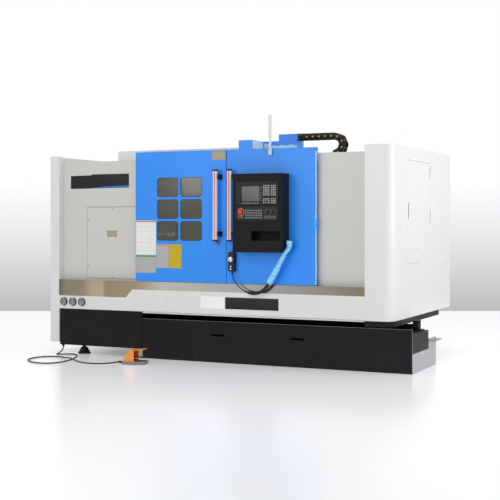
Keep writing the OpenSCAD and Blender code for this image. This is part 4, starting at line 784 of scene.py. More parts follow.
# %% Screws and plates on the enclosure
COVER_SCREWS = ((419, 1330), (419, 878), (697, 1447), (697, 771), (976, 1330), (976, 878))
RIVET = [(0, 1.2), (1.6, 1.0), (2.6, 0.2), (2.6, -0.3)]
SIDE_PLATE = [(208, 1644), (886, 1650), (886, 1787), (462, 1786), (446, 1777), (208, 1773)]
STRIPE = [(440, 1648), (884, 1652), (884, 1672), (600, 1664)]
piece("access_cover_screws", "casting", "frame", "machined_steel",
    *((add_screw, (x, 62, z), 6) for x, z in COVER_SCREWS))
# A thin dark rubber ring round the access cover is painted shadow: the dark line of the gap round it.
piece("access_cover_gap_shadow", "rubber", "frame", "rubber", (add_ring,
    round_outline((402, 993), (755, 1463), 9), round_outline((412, 983), (765, 1453), 8), (63.8, 65)))
piece("bare_plate", "khaki_print", "frame", "gauge_metal",
    (add_plate, round_outline((635, 751), (1166, 1229), 4), (60.8, 62), 0.4),
    *((add_turned, (x, 60.8, z), RIVET, "front", 10) for x in (641, 745) for z in (1172, 1223)))
piece("side_plate", "black_plastic", "frame", "black_paint", (add_plate, SIDE_PLATE, (63.6, 65), 0.5))
piece("side_plate_stripe", "blue_print", "frame", "blue_paint", (add_plate, STRIPE, (63.1, 63.6)))
piece("apron_plate_pale", "white_print", "frame", "white_paint",
    (add_plate, round_outline((1708, 1962), (504, 617), 3), (-1.4, 0), 0.4))
piece("apron_plate_dark", "black_plastic", "frame", "black_paint",
    (add_plate, round_outline((1967, 2508), (504, 613), 3), (-1.4, 0), 0.4))
print("plates on the frame made")

# %% [markdown]
# Each gauge has a pale dial with ticks, a needle on a hub, a clear front, and a dark flange with two
# bright screws. The ticks are radial bars, bolder at every fifth, so the dial reads from a distance.

# %% Gauge dials
GAUGE_X, GAUGE_Z, FLANGE = (174, 280, 386), 520, 9.5
RIM = ((0.5, -0.6), (1.2, 0.8), (5, 1.2), (8.4, 0.2), (9.9, -2.6), (9.9, -6))
HUB = [(0, 2.2), (5.0, 2.0), (6.0, 1.2), (6.0, 0.3)]


def add_hand(bm, x, z, degrees, start, end, y):
    """A bar that points away from (x, z). Start and end are each a radius and half the bar's width."""
    c, s = math.cos(math.radians(degrees)), math.sin(math.radians(degrees))
    (near, half), (far, tip) = start, end
    corners = ((near, -half), (far, -tip), (far, tip), (near, half))
    add_plate(bm, [(x + q * c - p * s, z + q * s + p * c) for q, p in corners], y)


low, high = drawing_box("pressure_gauges")
dial_r = (high[0] - low[0] - (GAUGE_X[-1] - GAUGE_X[0])) / 2 - FLANGE
dials, ticks, needles, fronts, rims, screws = (bmesh.new() for _ in range(6))
for i, x in enumerate(GAUGE_X):
    dial = (x, -10, GAUGE_Z)
    add_turned(dials, dial, [(0, 0.4), (dial_r - 1, 0.4), (dial_r, 0.0), (dial_r, -0.4)], steps=36)
    add_turned(rims, (x, -14, GAUGE_Z), [(dial_r + r, h) for r, h in RIM], steps=36)
    dome = [(0, 0.5), (dial_r * 0.7, 0.35), (dial_r + 0.4, -0.2), (dial_r + 0.4, -0.8)]
    add_turned(fronts, (x, -13, GAUGE_Z), dome, steps=36)
    for k in range(31):
        inner, half = (0.74, 0.6) if k % 5 else (0.52, 2.0)
        add_hand(ticks, x, GAUGE_Z, 225 - 9 * k, (dial_r * inner, half), (dial_r * 0.92, half), (-10.7, -10.4))
    add_hand(needles, x, GAUGE_Z, 205 - 38 * i, (-10, 2.4), (dial_r * 0.72, 0.9), (-11.4, -10.9))
    add_turned(needles, dial, HUB, steps=16)
    for a in (math.radians(88), math.radians(253)):
        r = dial_r + 4.5
        add_screw(screws, (x + r * math.cos(a), -14.8, GAUGE_Z + r * math.sin(a)), 4.6)
done("gauge_dials", dials, "grey_print", "frame")
done("gauge_rims", rims, "black_plastic", "frame")
done("gauge_screws", screws, "white_print", "frame")
done("gauge_ticks", ticks, "black_plastic", "frame")
done("gauge_needles", needles, "black_plastic", "frame")
done("gauge_fronts", fronts, "gauge_glass", "frame")
print("dial radius", round(dial_r, 1), "mm")

# %% [markdown]
# ## The sliding doors
# The left door has six panes in rubber frames, and sheets that are fixed flat on the blue paint. Both
# doors have a tall bar with a coloured stripe and black caps. A rubber frame is a ring between two
# rounded outlines, so the same outline function serves the opening and its frame.

# %% Window frames
PANE_X = ((1243, 1469), (1495, 1721))
PANE_Z = ((1137, 1319), (1345, 1527), (1553, 1735))


def grown(span, by):
    return span[0] - by, span[1] + by


bm = bmesh.new()
for x in PANE_X:
    for z in PANE_Z:
        outer, edge, inner = (round_outline(grown(x, by), grown(z, by), r)
            for by, r in ((1.5, 26), (-0.5, 24), (-2, 23)))
        add_ring(bm, outer, inner, (-1.0, 0.0))
        add_ring(bm, edge, inner, (0.0, 2.9))
done("window_frames", bm, "rubber", "left_door")
print("window frames:", len(PANE_X) * len(PANE_Z))

# %% [markdown]
# The sheets on the door carry only ruled rows, like an empty chart. Thin strips a fifth of a
# millimetre proud are enough to make the rows catch the light.

# %% Blank sheets on the left door
PRINT_Y = (-0.9, -0.7)


def square_outline(x, z):
    return [(x[0], z[0]), (x[1], z[0]), (x[1], z[1]), (x[0], z[1])]


def sheet(name, x, z, finish, rows=0, band=None, columns=1):
    piece(name, finish, "left_door", None, (add_plate, round_outline(x, z, 2, 2), (-0.7, 0.0)))
    width = (x[1] - x[0] - 16) / columns
    lines = []
    for c in range(columns):
        left = x[0] + 8 + c * width
        for k in range(rows):
            high = z[1] - 26 - k * (z[1] - z[0] - 30) / rows
            lines.append((add_plate, square_outline((left + 4, left + width - 5), (high - 1.6, high)), PRINT_Y))
    if lines:
        piece(name + "_rows", "grey_print", "left_door", None, *lines)
    if band:
        strip = square_outline(grown(x, -2), (z[1] - 16, z[1] - 3))
        piece(name + "_band", band, "left_door", None, (add_plate, strip, PRINT_Y))


sheet("door_sheet_tall", (1006, 1227), (997, 1328), "pale_print", 8, "salmon_print", 2)
sheet("door_sheet_low", (1006, 1227), (824, 994), "grey_print", band="green_plastic")
sheet("door_sheet_grey", (1231, 1364), (874, 1102), "grey_print", band="salmon_print")
sheet("door_sheet_yellow", (1366, 1505), (874, 1102), "yellow_print")
sheet("door_sheet_small", (1830, 1968), (1893, 1976), "khaki_print")
print("sheets on the left door: 5")

# %% [markdown]
# A bar handle is a pale profile with a stripe set in its front, a moulded cap at each end, and a
# bracket with two screws. Under the left bar hangs a small lever of the door's lock.

# %% Handle fittings
for side, x in (("left", 1890), ("right", 2036)):
    body = side + "_door"
    (_, front, foot), (_, _, top) = drawing_box(body + "_handle")
    piece(side + "_handle_stripe", "salmon_print", body, "red_plastic",
        (add_block, (x - 6.5, x + 6.5), (front - 0.8, front + 1), (foot + 14, top - 14), 0.4))
    piece(side + "_handle_caps", "black_plastic", body, "black_plastic",
        *((add_block, (x - 23.6, x + 23.6), (front - 1.5, front + 27), z, 3.0, 3)
            for z in ((foot - 4, foot + 13), (top - 13, top + 4))))
    bm = bmesh.new()
    for z in (foot + 65, top - 65):
        add_block(bm, (x + 19, x + 38.5), (-61.5, -1), (z - 21.5, z + 21.5), 3, 3)
        add_block(bm, (x + 8, x + 50), (-7, -1), (z - 24, z + 24), 2.5, 3)
        for dz in (-15, 15):
            add_screw(bm, (x + 44, -7, z + dz), 3.4)
    done(side + "_handle_feet", bm, "black_plastic", body)
piece("door_lock_lever", "casting", "left_door", "machined_steel",
    (add_block, (1872, 1906), (-7, 0), (1098, 1128), 2, 3),
    (add_turned, (1882, -7, 1113), [(0, 16), (5, 15), (7, 12), (7, 0)], "front", 18),
    (add_block, (1878, 1904), (-24, -20), (1107, 1119), 1.5))
print("handle fittings made")

# %% [markdown]
# The right door's right-facing edge gets a creased pale cyan sheet that is painted light: the blue edge
# as lit bright from the right. A small blue latch block stands out of that edge.

# %% Latch and painted light on the right door's edge
EDGE_LIGHT_FOOT, EDGE_LIGHT_STEP = 752, 20
piece("door_latch", "blue_paint", "right_door", "blue_paint",
    (add_block, (2866, 2883), (6, 44), (1252, 1330), 3, 3),
    (add_block, (2880, 2886), (14, 36), (1268, 1314), 2))

random.seed(4)
bm = bmesh.new()
rows = []
for k in range(61):
    z = EDGE_LIGHT_FOOT + k * EDGE_LIGHT_STEP
    wave = random.uniform(-1, 1)
    across = [(2868.5 + wave * 1.5, -0.9 - random.uniform(0, 0.5)), (2872.6, -0.6),
        (2873.2 + random.uniform(0, 1.2), 12), (2873.0 + random.uniform(0, 1.0), 24 + wave * 4)]
    rows.append([bm.verts.new(at(x, y, z)) for x, y in across])
for a, b in zip(rows, rows[1:]):
    join(bm, a, b, closed=False)
# pale cyan on the door's side edge: painted light
done("door_edge_painted_light", bm, "pale_cyan_painted_light", "right_door", 60)
print("latch and edge film made")

# %% [markdown]
# ## The control box
# The operator unit is a flat panel with a screen in a raised bezel and a block of keys. Real key caps
# have soft edges and a dished top, so each one is a stack of rounded outlines that draw in towards the
# top, and the last one is pushed in. The CAD keys give the places: each closed island of that mesh is
# one key, and the new caps take the islands' boxes, so nothing has to be measured again.

# %% Key places from the CAD islands
def islands(mesh):
    """The boxes of the separate closed pieces in a mesh."""
    lead = list(range(len(mesh.vertices)))

    def root(i):
        while lead[i] != i:
            lead[i] = lead[lead[i]]
            i = lead[i]
        return i

    spots = {}
    for v in mesh.vertices:
        key = tuple(round(c, 5) for c in v.co)
        if key in spots:
            lead[root(v.index)] = root(spots[key])
        spots[key] = v.index
    for e in mesh.edges:
        lead[root(e.vertices[0])] = root(e.vertices[1])
    boxes = {}
    for v in mesh.vertices:
        low, high = boxes.setdefault(root(v.index), (v.co.copy(), v.co.copy()))
        for i in range(3):
            low[i] = min(low[i], v.co[i])
            high[i] = max(high[i], v.co[i])
    return list(boxes.values())


keys = sorted((drawing(a), drawing(b)) for a, b in islands(nodes["keys"].data))
print("keys found:", len(keys), "first", [round(c) for c in keys[0][0]], "last", [round(c) for c in keys[-1][1]])

# %% [markdown]
# The keys beside the screen are pale, with one yellow and a few teal ones. Those on the lower panel are
# dim, and at its right end red and green ones take turns.

# %% Key caps
UNIT_FOOT = 1467  # lower edge of the operator unit
GAP_X, GAP_Z = -1, -1.4


def add_key(bm, low, high):
    """A cap with soft edges, drawn in to a smaller dished top."""
    x, z = (low[0], high[0]), (low[2], high[2])
    soft = min(x[1] - x[0], z[1] - z[0]) * 0.12
    steps = ((0.0, high[1]), (0.0, low[1] + 1.0), (soft * 0.35, low[1] + 0.35), (soft, low[1]),
        (soft * 2.2, low[1] + 0.25))
    rings = []
    for inset, depth in steps:
        outline = round_outline(grown(x, -inset), grown(z, -inset), max(0.6, soft * 1.2 - inset * 0.4), 2)
        rings.append([bm.verts.new(at(px, depth, pz)) for px, pz in outline])
    for a, b in zip(rings, rings[1:]):
        join(bm, a, b)
    bm.faces.new(rings[-1])


def key_finish(x, z):
    if z > UNIT_FOOT:
        if x > 2540 and 1550 < z < 1565:
            return "yellow_plastic"
        return "teal_plastic" if z < 1515 and 2445 < x < 2480 else "key_plastic"
    if x > 2420 and z < 1380:
        return ("red_plastic", "green_plastic", "dim_key")[int(x) % 3]
    return "dim_key"


coloured = {kind: [] for kind in ("key_plastic", "teal_plastic", "yellow_plastic", "red_plastic",
    "green_plastic", "dim_key")}
for low, high in keys:
    coloured[key_finish((low[0] + high[0]) / 2, (low[2] + high[2]) / 2)].append((low, high))
for kind, found in coloured.items():
    if found:
        boxes = (zip(grown((a[0], b[0]), GAP_X), (a[1], b[1]), grown((a[2], b[2]), GAP_Z)) for a, b in found)
        piece("key_caps_" + kind.split("_")[0], kind, "right_door", "key_plastic",
            *((add_key, *box) for box in boxes))
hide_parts("keys")
print("caps by colour:", {kind: len(found) for kind, found in coloured.items()})

# %% [markdown]
# Round the screen sits a raised frame, and the unit's corners have small screws. The emergency stop
# stands on a yellow disc, and the two knobs point to ticks on the panel. All of it rides on the door.

# %% Bezel, discs and ticks
KNOBS, KNOB_Z = (("feed_knob", 2467), ("speed_knob", 2521)), 1408
STOP = (2205, -160.6, 1404)
STOP_DISC = ((0.55, 2.6), (1.15, 2.4), (1.32, 1.6), (1.36, 0.4), (1.36, 0.0))
CORNERS = (((2162, 2568), -161, (1474, 1671), 3.2), ((2162, 2568), -161, (1335, 1449), 2.8),
    ((2128, 2603), -155, (1050, 1740), 4.0))
piece("screen_bezel", "black_plastic", "right_door", "black_plastic",
    (add_ring, round_outline((2200, 2402), (1489, 1649), 8), round_outline((2211, 2391), (1500, 1638), 4),
        (-164.5, -160.5)),
    (add_ring, round_outline((2204, 2398), (1493, 1645), 6), round_outline((2209, 2393), (1498, 1640), 4),
        (-166, -164.5)))
piece("panel_screws", "black_plastic", "right_door", "black_plastic",
    *((add_screw, (x, y, z), r) for across, y, up, r in CORNERS for x in across for z in up))


def front_of(node):
    """Half the width of a round solid, and the place of its front."""
    low, high = drawing_box(node)
    return (high[0] - low[0]) / 2, low[1]


stop_r, _ = front_of("emergency_stop")
piece("emergency_stop_disc", "yellow_plastic", "right_door", None,
    (add_turned, STOP, [(q * stop_r, h) for q, h in STOP_DISC], "front", 36))
ticks = bmesh.new()
for body, x in KNOBS:
    r, face = front_of(body)
    for k in range(16):
        add_hand(ticks, x, KNOB_Z, 225 - 18 * k, (r + 3, 0.5), (r + 6.5, 0.5), (-161.5, -161.0))
    mark = square_outline((x - 0.8, x + 0.8), (KNOB_Z + r * 0.35, KNOB_Z + r * 0.92))
    piece(body + "_pointer", "pale_print", body, None, (add_plate, mark, (face - 0.3, face + 0.2)))
done("knob_ticks", ticks, "pale_print", "right_door")
piece("control_box_trim", "black_paint", "right_door", "black_paint",
    (add_block, (2240, 2592), (-158.5, -155), (1118, 1126), 1.2),
    (add_block, (2612, 2616.5), (-112, -92), (1276, 1462), 1.6),
    (add_block, (2612, 2618), (-80, -52), (1256, 1276), 2.0),
    (add_turned, (2614, -66, 1266), [(0, 9), (4, 8), (5.5, 5), (5.5, 0)], "right", 16))
print("emergency stop radius", round(stop_r, 1), "mm")

# %% [markdown]
# The hand pulse unit has a round dial with a finger knob on its wheel and two selector knobs below.
# Where the cord leaves it, a stack of rubber rings that get smaller keeps the cord from kinking.

# %% Hand pulse unit
PULSE_X, WHEEL_Z, SELECTOR_Z = 2050, 968, (902, 878)
DIAL = ((0, 1.2), (0.5, 1.2), (0.62, 0.4), (0.8, 0.2), (0.8, -0.2))
FINGER_KNOB = [(0, 5), (3.4, 4.6), (4.4, 3), (4.4, 0)]
SELECTOR = [(0, 8), (4.5, 7.6), (6.5, 6), (7.5, 0.8), (9, 0.4), (9, -0.5)]
wheel_r, face = front_of("handwheel")
piece("handwheel_knob", "gauge_metal", "handwheel", "machined_steel",
    (add_turned, (PULSE_X, face, WHEEL_Z), [(q * wheel_r, h) for q, h in DIAL], "front", 28),
    (add_turned, (PULSE_X + wheel_r * 0.55, face, WHEEL_Z + wheel_r * 0.3), FINGER_KNOB, "front", 14))
_, face = front_of("handwheel_unit")
piece("pulse_selectors", "gauge_metal", "right_door", None,
    *((add_turned, (PULSE_X, face + 0.2, z), SELECTOR, "front", 18) for z in SELECTOR_Z))
bm = bmesh.new()
for k in range(5):
    wide, slim = 9.5 - k * 0.8, 7.2 - k * 0.4
    profile = [(wide, -4.5), (wide, 0), (slim, 0.4), (slim, 1.6)]
    add_turned(bm, (PULSE_X, -23, 855 - 6 * k), profile, "up", 18)
done("pulse_strain_relief", bm, "rubber", "right_door")
print("pulse wheel radius", round(wheel_r, 1), "mm")

# %% [markdown]
# ## Lamp, duct and chain
# The signal lamp is a clear tube in three tiers on a grey pole. Thin rings between the tiers and a
# finned sleeve inside make it read as a lamp and not as a rod.

# %% Signal lamp
LAMP, FINS, FIN_R = (2433, -20), 9, 15.1
TIER_RING = [(14.6, 0), (16.2, 0.8), (16.2, 4.2), (14.6, 5)]
POLE_COLLAR = [(11.2, 0), (15, 2), (17, 6), (15, 10), (11.2, 12)]
bm = bmesh.new()
for z in (2093, 2155, 2217, 2281):
    add_turned(bm, (*LAMP, z), TIER_RING, "up", 28)
add_turned(bm, (*LAMP, 1974), POLE_COLLAR, "up", 28)
for k in range(FINS):
    a = 2 * math.pi * k / FINS
    x, y = LAMP[0] + FIN_R * math.cos(a), LAMP[1] + FIN_R * math.sin(a)
    add_block(bm, (x - 0.5, x + 0.5), (y - 0.5, y + 0.5), (2100, 2154), 0.2, 1)
done("lamp_rings", bm, "gauge_metal", "right_door")
print("lamp rings: 4, fins:", FINS)

# %% [markdown]
# Over the duct behind the door, pale cyan creased sheets are painted light: the duct's blue as lit
# bright from the right. A sheet is a grid of points: noise pushes the points off the duct and makes the
# upper edge ragged.

# %% Painted light on the duct
def creased_sheet(name, finish, along, tall, place):
    """A creased sheet: place(u, v, fold) gives the drawing point for u and v between 0 and 1."""
    bm = bmesh.new()
    grid = []
    for i in range(along + 1):
        row = []
        for k in range(tall + 1):
            u, v = i / along, k / tall
            fold = abs(noise.noise(Vector((u * 9.5, v * 3.1, 0.3)))) * 3
            row.append(bm.verts.new(at(*place(u, v, fold))))
        grid.append(row)
    for a, b in zip(grid, grid[1:]):
        join(bm, a, b, closed=False)
    done(name, bm, finish, "right_door", 70)


def ragged(u):
    return 12 * noise.noise(Vector((u * 7.0, 4.2, 0.0)))


def on_side(u, v, fold):
    return 2246 + fold, 3 + 238 * u, 1990 + (77 + ragged(u) * 0.2) * v


def on_back(u, v, fold):
    tall = 38 + 30 * max(0.0, 1 - 4 * u) + ragged(u)
    return 2250 + 338 * u, 245.5 - fold, 1991 + tall * v


creased_sheet("duct_side_painted_light", "clear_cyan_painted_light", 30, 12, on_side)
creased_sheet("duct_painted_light", "pale_cyan_painted_light", 40, 10, on_back)
print("film sheets: 2")

# %% [markdown]
# The energy chain feeds the cables of the moving door. Its lower end is bolted to the roof and its
# upper end to the door, so it rolls when the door slides. A rolling bend moves half as far as the
# door, so we copy the CAD links and cut the copy in three: the upper run, the bend and the foot.

# %% Parts of the chain
PITCH, BEND, RUN, FIRST = 60, 78.5, 360, (2591, 2101)
TURN_X = FIRST[0] + RUN
FOOT_X = TURN_X + 14


def chain_at(s):
    if s <= RUN:
        return FIRST[0] + s, FIRST[1]
    a = (s - RUN) / BEND
    return TURN_X + BEND * math.sin(a), FIRST[1] - BEND + BEND * math.cos(a)


def region(point):
    x, _, z = drawing(point)
    if z > FIRST[1] - BEND:
        return "bend" if x > TURN_X else "upper"
    return "bend" if x > FOOT_X else "foot"


def cut_chain(part):
    bm = bmesh.new()
    bm.from_mesh(nodes["drag_chain"].data)
    bmesh.ops.remove_doubles(bm, verts=bm.verts, dist=0.00001)
    for cut in (TURN_X, FOOT_X):
        whole = [*bm.verts, *bm.edges, *bm.faces]
        bmesh.ops.bisect_plane(bm, geom=whole, plane_co=at(cut, 0, 0), plane_no=(1, 0, 0))
    others = [f for f in bm.faces if region(f.calc_center_median()) != part]
    bmesh.ops.delete(bm, geom=others, context="FACES")
    return bm


low, high = drawing_box("drag_chain")
print("chain box:", [round(c) for c in (*low, *high)])

# %% [markdown]
# Each pin gets an amber cap. The three parts and their caps ride on no body of the machine: each keeps
# its place baked into its mesh.

# %% Energy chain
FAR_AWAY = 8000  # so long a way that the whole bend lies in its middle
PIN_CAP = [(0, 1.6), (5.5, 1.4), (8.0, 0.2), (8.0, -8)]
END_CAP = [(0, 1.0), (2.4, 0.9), (3.2, 0.2), (3.2, -8)]
BLENDS = {"upper": ((TURN_X + RUN, 2022), (FIRST[0], 2022)),
    "bend": ((TURN_X, FIRST[1] - FAR_AWAY), (TURN_X, FIRST[1] + FAR_AWAY)),
    "foot": ((TURN_X - 28, 1944), (TURN_X + 56, 1944))}
front = low[1] + 2.0
links = {}
for part, (start, end) in BLENDS.items():
    links[part] = done("energy_chain_" + part, cut_chain(part), "black_plastic", None, 30)
    moving = [links[part]]
    bm = bmesh.new()
    for k in range(1, 10):
        x, z = chain_at(PITCH * (k + 0.5))
        if region(at(x, 0, z)) == part:
            add_turned(bm, (x, front, z), PIN_CAP, steps=16)
    if part == "upper":
        for z in (2089, 2113):
            add_turned(bm, (FIRST[0] + 14, front, z), END_CAP, steps=12)
    if bm.faces:
        moving.append(done("chain_caps_" + part, bm, "amber_plastic", None))
    for obj in moving:
        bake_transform(obj)
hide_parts("drag_chain")
print("chain pieces:", [o.name for o in links.values()])

# %% [markdown]
# ## Sleeve and film on the pulse cord
# The thin cord of the hand unit runs into a thick black sleeve, and the sleeve's upper half is still
# wrapped in blue film. A tube along the route with a ring of points at each step makes both. The
# film's rings are pushed in and out by noise, twisted a little, and loosened at the lower end.

# %% Tubes along a route
def around(a, gain, depth):
    """Noise on a circle, so that a ring of it closes without a seam."""
    return noise.noise(Vector((math.cos(a) * gain, math.sin(a) * gain, depth)))


def add_tube(bm, line, radii, steps=16, crease=None, twist=0.0):
    rings = []
    for i, p in enumerate(line):
        ahead = (line[min(i + 1, len(line) - 1)] - line[max(i - 1, 0)]).normalized()
        u = Vector((0, 1, 0)).cross(ahead).normalized()
        v = ahead.cross(u)
        ring = []
        for k in range(steps):
            a = 2 * math.pi * k / steps + twist * i
            r = radii[i]
            if crease:
                r *= 1 + crease[i] * (around(a, 2.2, i * 0.55) * 0.7 + around(a, 6, i * 1.7) * 0.3)
            ring.append(bm.verts.new(p + (u * math.cos(a) + v * math.sin(a)) * r))
        rings.append(ring)
    for a, b in zip(rings, rings[1:]):
        join(bm, a, b)
    for ring in (rings[0][::-1], rings[-1]):
        bm.faces.new(ring)


def part_of(line, start, end):
    count = len(line) - 1
    return line[round(start * count):round(end * count) + 1]


print("steps of the sleeve:", len(part_of(pulse_line, 0.30, 0.62)))

# %% [markdown]
# The sleeve widens over its first steps, where it grips the cord. The film follows the same route with
# finer steps, wide and loose at its lower end, tight in the middle, and smooth at the gland.

# %% Sleeve and film
SLEEVE_R, GLAND = 0.0148, (2648, -80, 1115.2)
WIDTHS = [(0.0, 24), (0.06, 29), (0.14, 27), (0.22, 29), (0.30, 21), (0.45, 19), (0.62, 22), (0.8, 26),
    (0.9, 28.5), (1.0, 28.5)]


def width_at(t):
    for (t0, w0), (t1, w1) in zip(WIDTHS, WIDTHS[1:]):
        if t <= t1:
            return (w0 + (w1 - w0) * (t - t0) / (t1 - t0)) / 1000


sleeve_line = part_of(pulse_line, 0.30, 0.62)
bm = bmesh.new()
add_tube(bm, sleeve_line, [SLEEVE_R * (0.45 + 0.55 * min(1.0, i / 9)) for i in range(len(sleeve_line))], 20)
sleeve = done("pulse_sleeve", bm, "rubber", "right_door", 60)

film_line = part_of(smooth(PULSE_ROUTE, 14), 0.575, 1.0)
film_line += [at(GLAND[0], GLAND[1], GLAND[2] + 3 * k) for k in range(1, 11)]
count = len(film_line) - 1
shares = [i / count for i in range(count + 1)]
creases = [0.36 if t < 0.27 else 0.20 if t < 0.8 else 0.06 for t in shares]
bm = bmesh.new()
add_tube(bm, film_line, [width_at(t) for t in shares], 28, creases, 0.04)
film = done("pulse_film", bm, "film", "right_door", 40)
print("sleeve", round(length_of(sleeve_line), 3), "m, film", round(length_of(film_line), 3), "m")

# %% [markdown]
# Now the cords, with their real length, get their finish, ride on their bodies and take the place of
# the CAD cords. Both go back into the object at their far end, one into the switch and one into the
# control box, and their whole length is in view.

# %% Cords
for cord, body, node in ((foot_cord, "frame", "foot_cord"), (pulse_cord, "right_door", "handwheel_cord")):
    cord.data.materials.append(finishes["rubber"])
    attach(cord, body)
    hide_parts(node)

# %% [markdown]
# ## Foot switch
# The hood is a folded orange sheet, open towards the foot. The tread has a ribbed mat that folds over
# its front edge, the base has screws in its ears, and a tapered sleeve keeps the cord from breaking
# where it enters. All of it is built straight on the drawing and then turned with the switch.

# %% Foot switch fittings
SWITCH_X, SWITCH_Y = 1236, -401
TURN = Matrix.Rotation(math.radians(11.6), 3, "Z")
EAR_SCREW = [(0, 2.2), (3, 2.2), (3.4, 4), (6, 3.6), (7, 1.6), (7, -0.4)]


def turn_with_switch(bm):
    bmesh.ops.rotate(bm, verts=bm.verts, cent=at(SWITCH_X, SWITCH_Y, 0), matrix=TURN)


def switch_y(half):
    return SWITCH_Y - half, SWITCH_Y + half


piece("switch_screws", "machined_steel", "frame", "machined_steel",
    *((add_turned, (SWITCH_X, y, 10), EAR_SCREW, "up", 16) for y in switch_y(84)), (turn_with_switch,))

tread = drawing_box("foot_pedal")[1][2]
ribs = (SWITCH_X - 40 + 13 * k for k in range(9))
piece("pedal_mat", "rubber", "foot_pedal", "rubber",
    (add_block, (SWITCH_X - 44, SWITCH_X + 82), switch_y(48), (tread - 0.4, tread + 0.8), 0.3),
    (add_block, (SWITCH_X + 72, SWITCH_X + 83), switch_y(48.5), (tread - 6.8, tread + 1.2), 0.8),
    *((add_block, (x, x + 5), switch_y(44), (tread + 0.4, tread + 1.8), 0.5) for x in ribs),
    (turn_with_switch,))

bm = bmesh.new()
for k in range(6):
    r = 12.0 - 0.7 * k
    profile = [(r - 1.2, -5), (r, -4), (r, 0), (r - 1.2, 1), (r - 1.2, 2)]
    add_turned(bm, (SWITCH_X - 127 - 7 * k, SWITCH_Y, 15), profile, "right", 18)
turn_with_switch(bm)
done("switch_strain_relief", bm, "rubber", "frame")
print("tread height", round(tread, 1), "mm")

# %% [markdown]
# ## Apron lip, rear and roof
# The apron ends in a folded lip, which shows as a pale double line over the chip tray. Grey strips on
# the tray's top edge and right end are a painted highlight, the light caught by those edges. The rear
# and the roof can't be seen in the photo, so they only get what such sheet enclosures need: joint strips
# with pan-head screws where two sheets meet, and one panel of pressed louvres for the drive's warm air.

# %% Apron lip
LIP_X = (1068, 3329)
lip = drawing_box("apron")[0][2]
piece("apron_lip", "white_paint", "frame", "white_paint",
    (add_block, LIP_X, (8, 11), (lip - 16, lip - 5), 0.8),
    (add_block, LIP_X, (10.5, 24), (lip - 16, lip - 13.5), 0.6),
    (add_block, LIP_X, (21.5, 24), (lip - 16, lip + 2), 0.6))
edge = drawing_box("chip_tray")[1][2]
# grey strips on the tray's edges: painted highlight
piece("tray_edge_highlight", "casting", "tank", "casting",
    (add_block, (1081, 3761), (-0.5, 2.0), (edge - 2, edge + 0.5), 0.4),
    (add_block, (3761.5, 3765.5), (-0.5, 2.5), (4, edge - 4), 0.4))
print("lip under the apron at", round(lip), "mm, edge of the tray at", round(edge), "mm")

# %% [markdown]
# A joint strip is a long softened block, and its screws follow at an even pitch. A louvre is a wedge:
# its upper edge lies in the sheet, its lower edge stands off, and the air leaves below. A thin black
# strip lies in each slot as painted shade, the dark inside seen through it.

# %% Joint strips and louvres on the rear
STRIP_HALF, STRIP_PROUD, SCREW_R = 14, 1.6, 4.5
LOUVRE = ((0.0, 22), (4.95, 14), (9.0, 2), (9.0, 0), (7.8, 0), (0.0, 2))  # reach from the sheet, height
_, (_, back, top) = drawing_box("roof_and_rear")
strip_y, head = (back - 0.5, back + STRIP_PROUD), back + STRIP_PROUD
strips, screws, hoods, slot_shades = (bmesh.new() for _ in range(4))
for x in (1120, 2010, 2800):
    add_block(strips, (x - STRIP_HALF, x + STRIP_HALF), strip_y, (470, 1890), 0.7)
    for k in range(8):
        add_screw(screws, (x, head, 500 + 194 * k), SCREW_R, "back")


def add_louvre(bm, x, z):
    """A pressed hood: the sheet bends out over a slot and closes at both ends."""
    add_prism(bm, *([bm.verts.new(at(px, back - 0.3 + reach, z + up)) for reach, up in LOUVRE] for px in x))


for column in ((1290, 1530), (1570, 1810)):
    for k in range(9):
        z = 1240 + 46 * k
        add_louvre(hoods, column, z)
        # a thin black strip in the slot: painted shade of the dark inside
        add_block(slot_shades, grown(column, -2), (back - 0.4, back + 0.25), (z - 1, z + 3), 0)
add_ring(strips, round_outline((1250, 1850), (1200, 1690), 8), round_outline((1272, 1828), (1222, 1668), 6),
    strip_y)
for x in (1261, 1550, 1839):
    for z in (1211, 1679):
        add_screw(screws, (x, head, z), SCREW_R, "back")
done("rear_louvres", hoods, "white_paint", "frame")
done("rear_louvre_slot_shades", slot_shades, "black_plastic", "frame")
print("rear louvres: 18, joint strips: 3")

# %% [markdown]
# The raised part of the roof gets two strips more. Its outline is read from the highest points of the
# solid, so nothing has to be measured again.

# %% Joint strips on the roof
upper = [v for v in (drawing(v.co) for v in nodes["roof_and_rear"].data.vertices) if v[2] > top - 0.5]
(x0, x1), (y0, y1) = ((min(row), max(row)) for row in list(zip(*upper))[:2])
for share in (0.34, 0.67):
    x = x0 + (x1 - x0) * share
    add_block(strips, (x - STRIP_HALF, x + STRIP_HALF), (y0 + 25, y1 - 25), (top - 0.5, top + STRIP_PROUD), 0.7)
    for k in range(7):
        add_screw(screws, (x, y0 + 60 + (y1 - y0 - 120) * k / 6, top + STRIP_PROUD), SCREW_R, "up")
done("joint_strips", strips, "white_paint", "frame")
done("joint_screws", screws, "casting", "frame")
print("raised roof from", round(x0), round(y0), "to", round(x1), round(y1))

# %% [markdown]
# ## Behind the doors
# With the doors open, the turret's face, the chuck and the slides come into view. The turret has a face
# plate with a ring of socket screws and a hub cap, and the chuck has screws between its jaws. Each
# fitting rides on the body that carries it, so the chuck's screws turn with the spindle.

# %% Turret and chuck fittings
FACE_PLATE = [(0, 13), (36, 13), (40, 10), (40, 6), (109, 6), (112, 3), (112, -0.5)]
PLATE_SCREWS, HUB_SCREWS = range(0, 360, 30), range(30, 390, 60)
BODY_SCREWS, JAW_SCREWS = (30, 150, 270), (5, 55, 125, 175, 245, 295)


def axis_of(node):
    """The two ends of a turned solid along the spindle's direction, and its axis."""
    low, high = drawing_box(node)
    return low[0], high[0], ((low[1] + high[1]) / 2, (low[2] + high[2]) / 2)


def add_screw_ring(bm, x, axis, r, angles, size, facing):
    for a in (math.radians(angle) for angle in angles):
        add_screw(bm, (x, axis[0] + r * math.cos(a), axis[1] + r * math.sin(a)), size, facing)


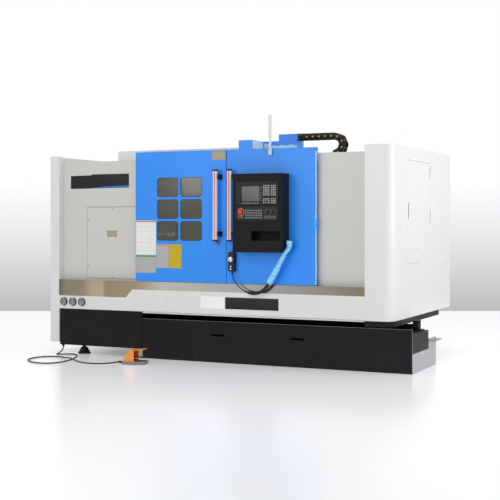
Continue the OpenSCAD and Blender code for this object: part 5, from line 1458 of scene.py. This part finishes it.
face, _, turret = axis_of("turret_disc")
piece("turret_face_plate", "turned_steel", "turret", "machined_steel",
    (add_turned, (face, *turret), FACE_PLATE, "left", 48))
piece("turret_face_screws", "black_plastic", "turret", "black_plastic",
    (add_screw_ring, face - 6, turret, 92, PLATE_SCREWS, 6.5, "left"),
    (add_screw_ring, face - 13, turret, 26, HUB_SCREWS, 3.5, "left"))
_, face, chuck = axis_of("chuck_body")
piece("chuck_screws", "black_plastic", "spindle", "black_plastic",
    (add_screw_ring, face, chuck, 92, BODY_SCREWS, 8, "right"),
    (add_screw_ring, face, chuck, 54, JAW_SCREWS, 4.5, "right"))
print("turret axis", [round(v) for v in turret], "chuck axis", [round(v) for v in chuck])

# %% [markdown]
# Rubber wipers under steel strips keep chips off the guideways. The bed slants, so they are built as if
# it lay level, and then turned round its middle.

# %% Wipers on the guideways
BED_Y, BED_Z, WAY_TOP, WAY_OFFSET, WAY_HALF = 933.3, 886.7, 55, 260, 30
tilt = Matrix.Rotation(math.radians(45), 3, "X")
foot = BED_Z + WAY_TOP
for body in ("saddle", "tailstock"):
    low, high = drawing_box(body)
    rubbers, strips = bmesh.new(), bmesh.new()
    for x, way, facing in ((low[0], -1, "left"), (high[0], 1, "right")):
        for u in (BED_Y - WAY_OFFSET, BED_Y + WAY_OFFSET):
            wide = (u - WAY_HALF, u + WAY_HALF)
            add_block(rubbers, sorted((x, x + way * 5)), wide, (foot + 0.8, foot + 34), 0.8)
            add_block(strips, sorted((x + way * 5, x + way * 7)), grown(wide, -2), (foot + 8, foot + 36), 0.5)
            for du in (-18, 18):
                add_screw(strips, (x + way * 7, u + du, foot + 26), 4, facing)
    for name, bm, finish in (("wipers", rubbers, "rubber"), ("wiper_strips", strips, "machined_steel")):
        bmesh.ops.rotate(bm, verts=bm.verts, cent=at(0, BED_Y, BED_Z), matrix=tilt)
        done(body + "_" + name, bm, finish, body)
print("wipers: 8")

# %% [markdown]
# ## Finish
# The dressed model must keep the size of the bare one, so both boxes are written down and compared.

# %% Sizes and the end
new_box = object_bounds()
pairs = zip((*cad_box[0], *new_box[1]), (*new_box[0], *cad_box[1]))
print("grew by, in mm:", [round((a - b) * 1000, 1) for a, b in pairs])
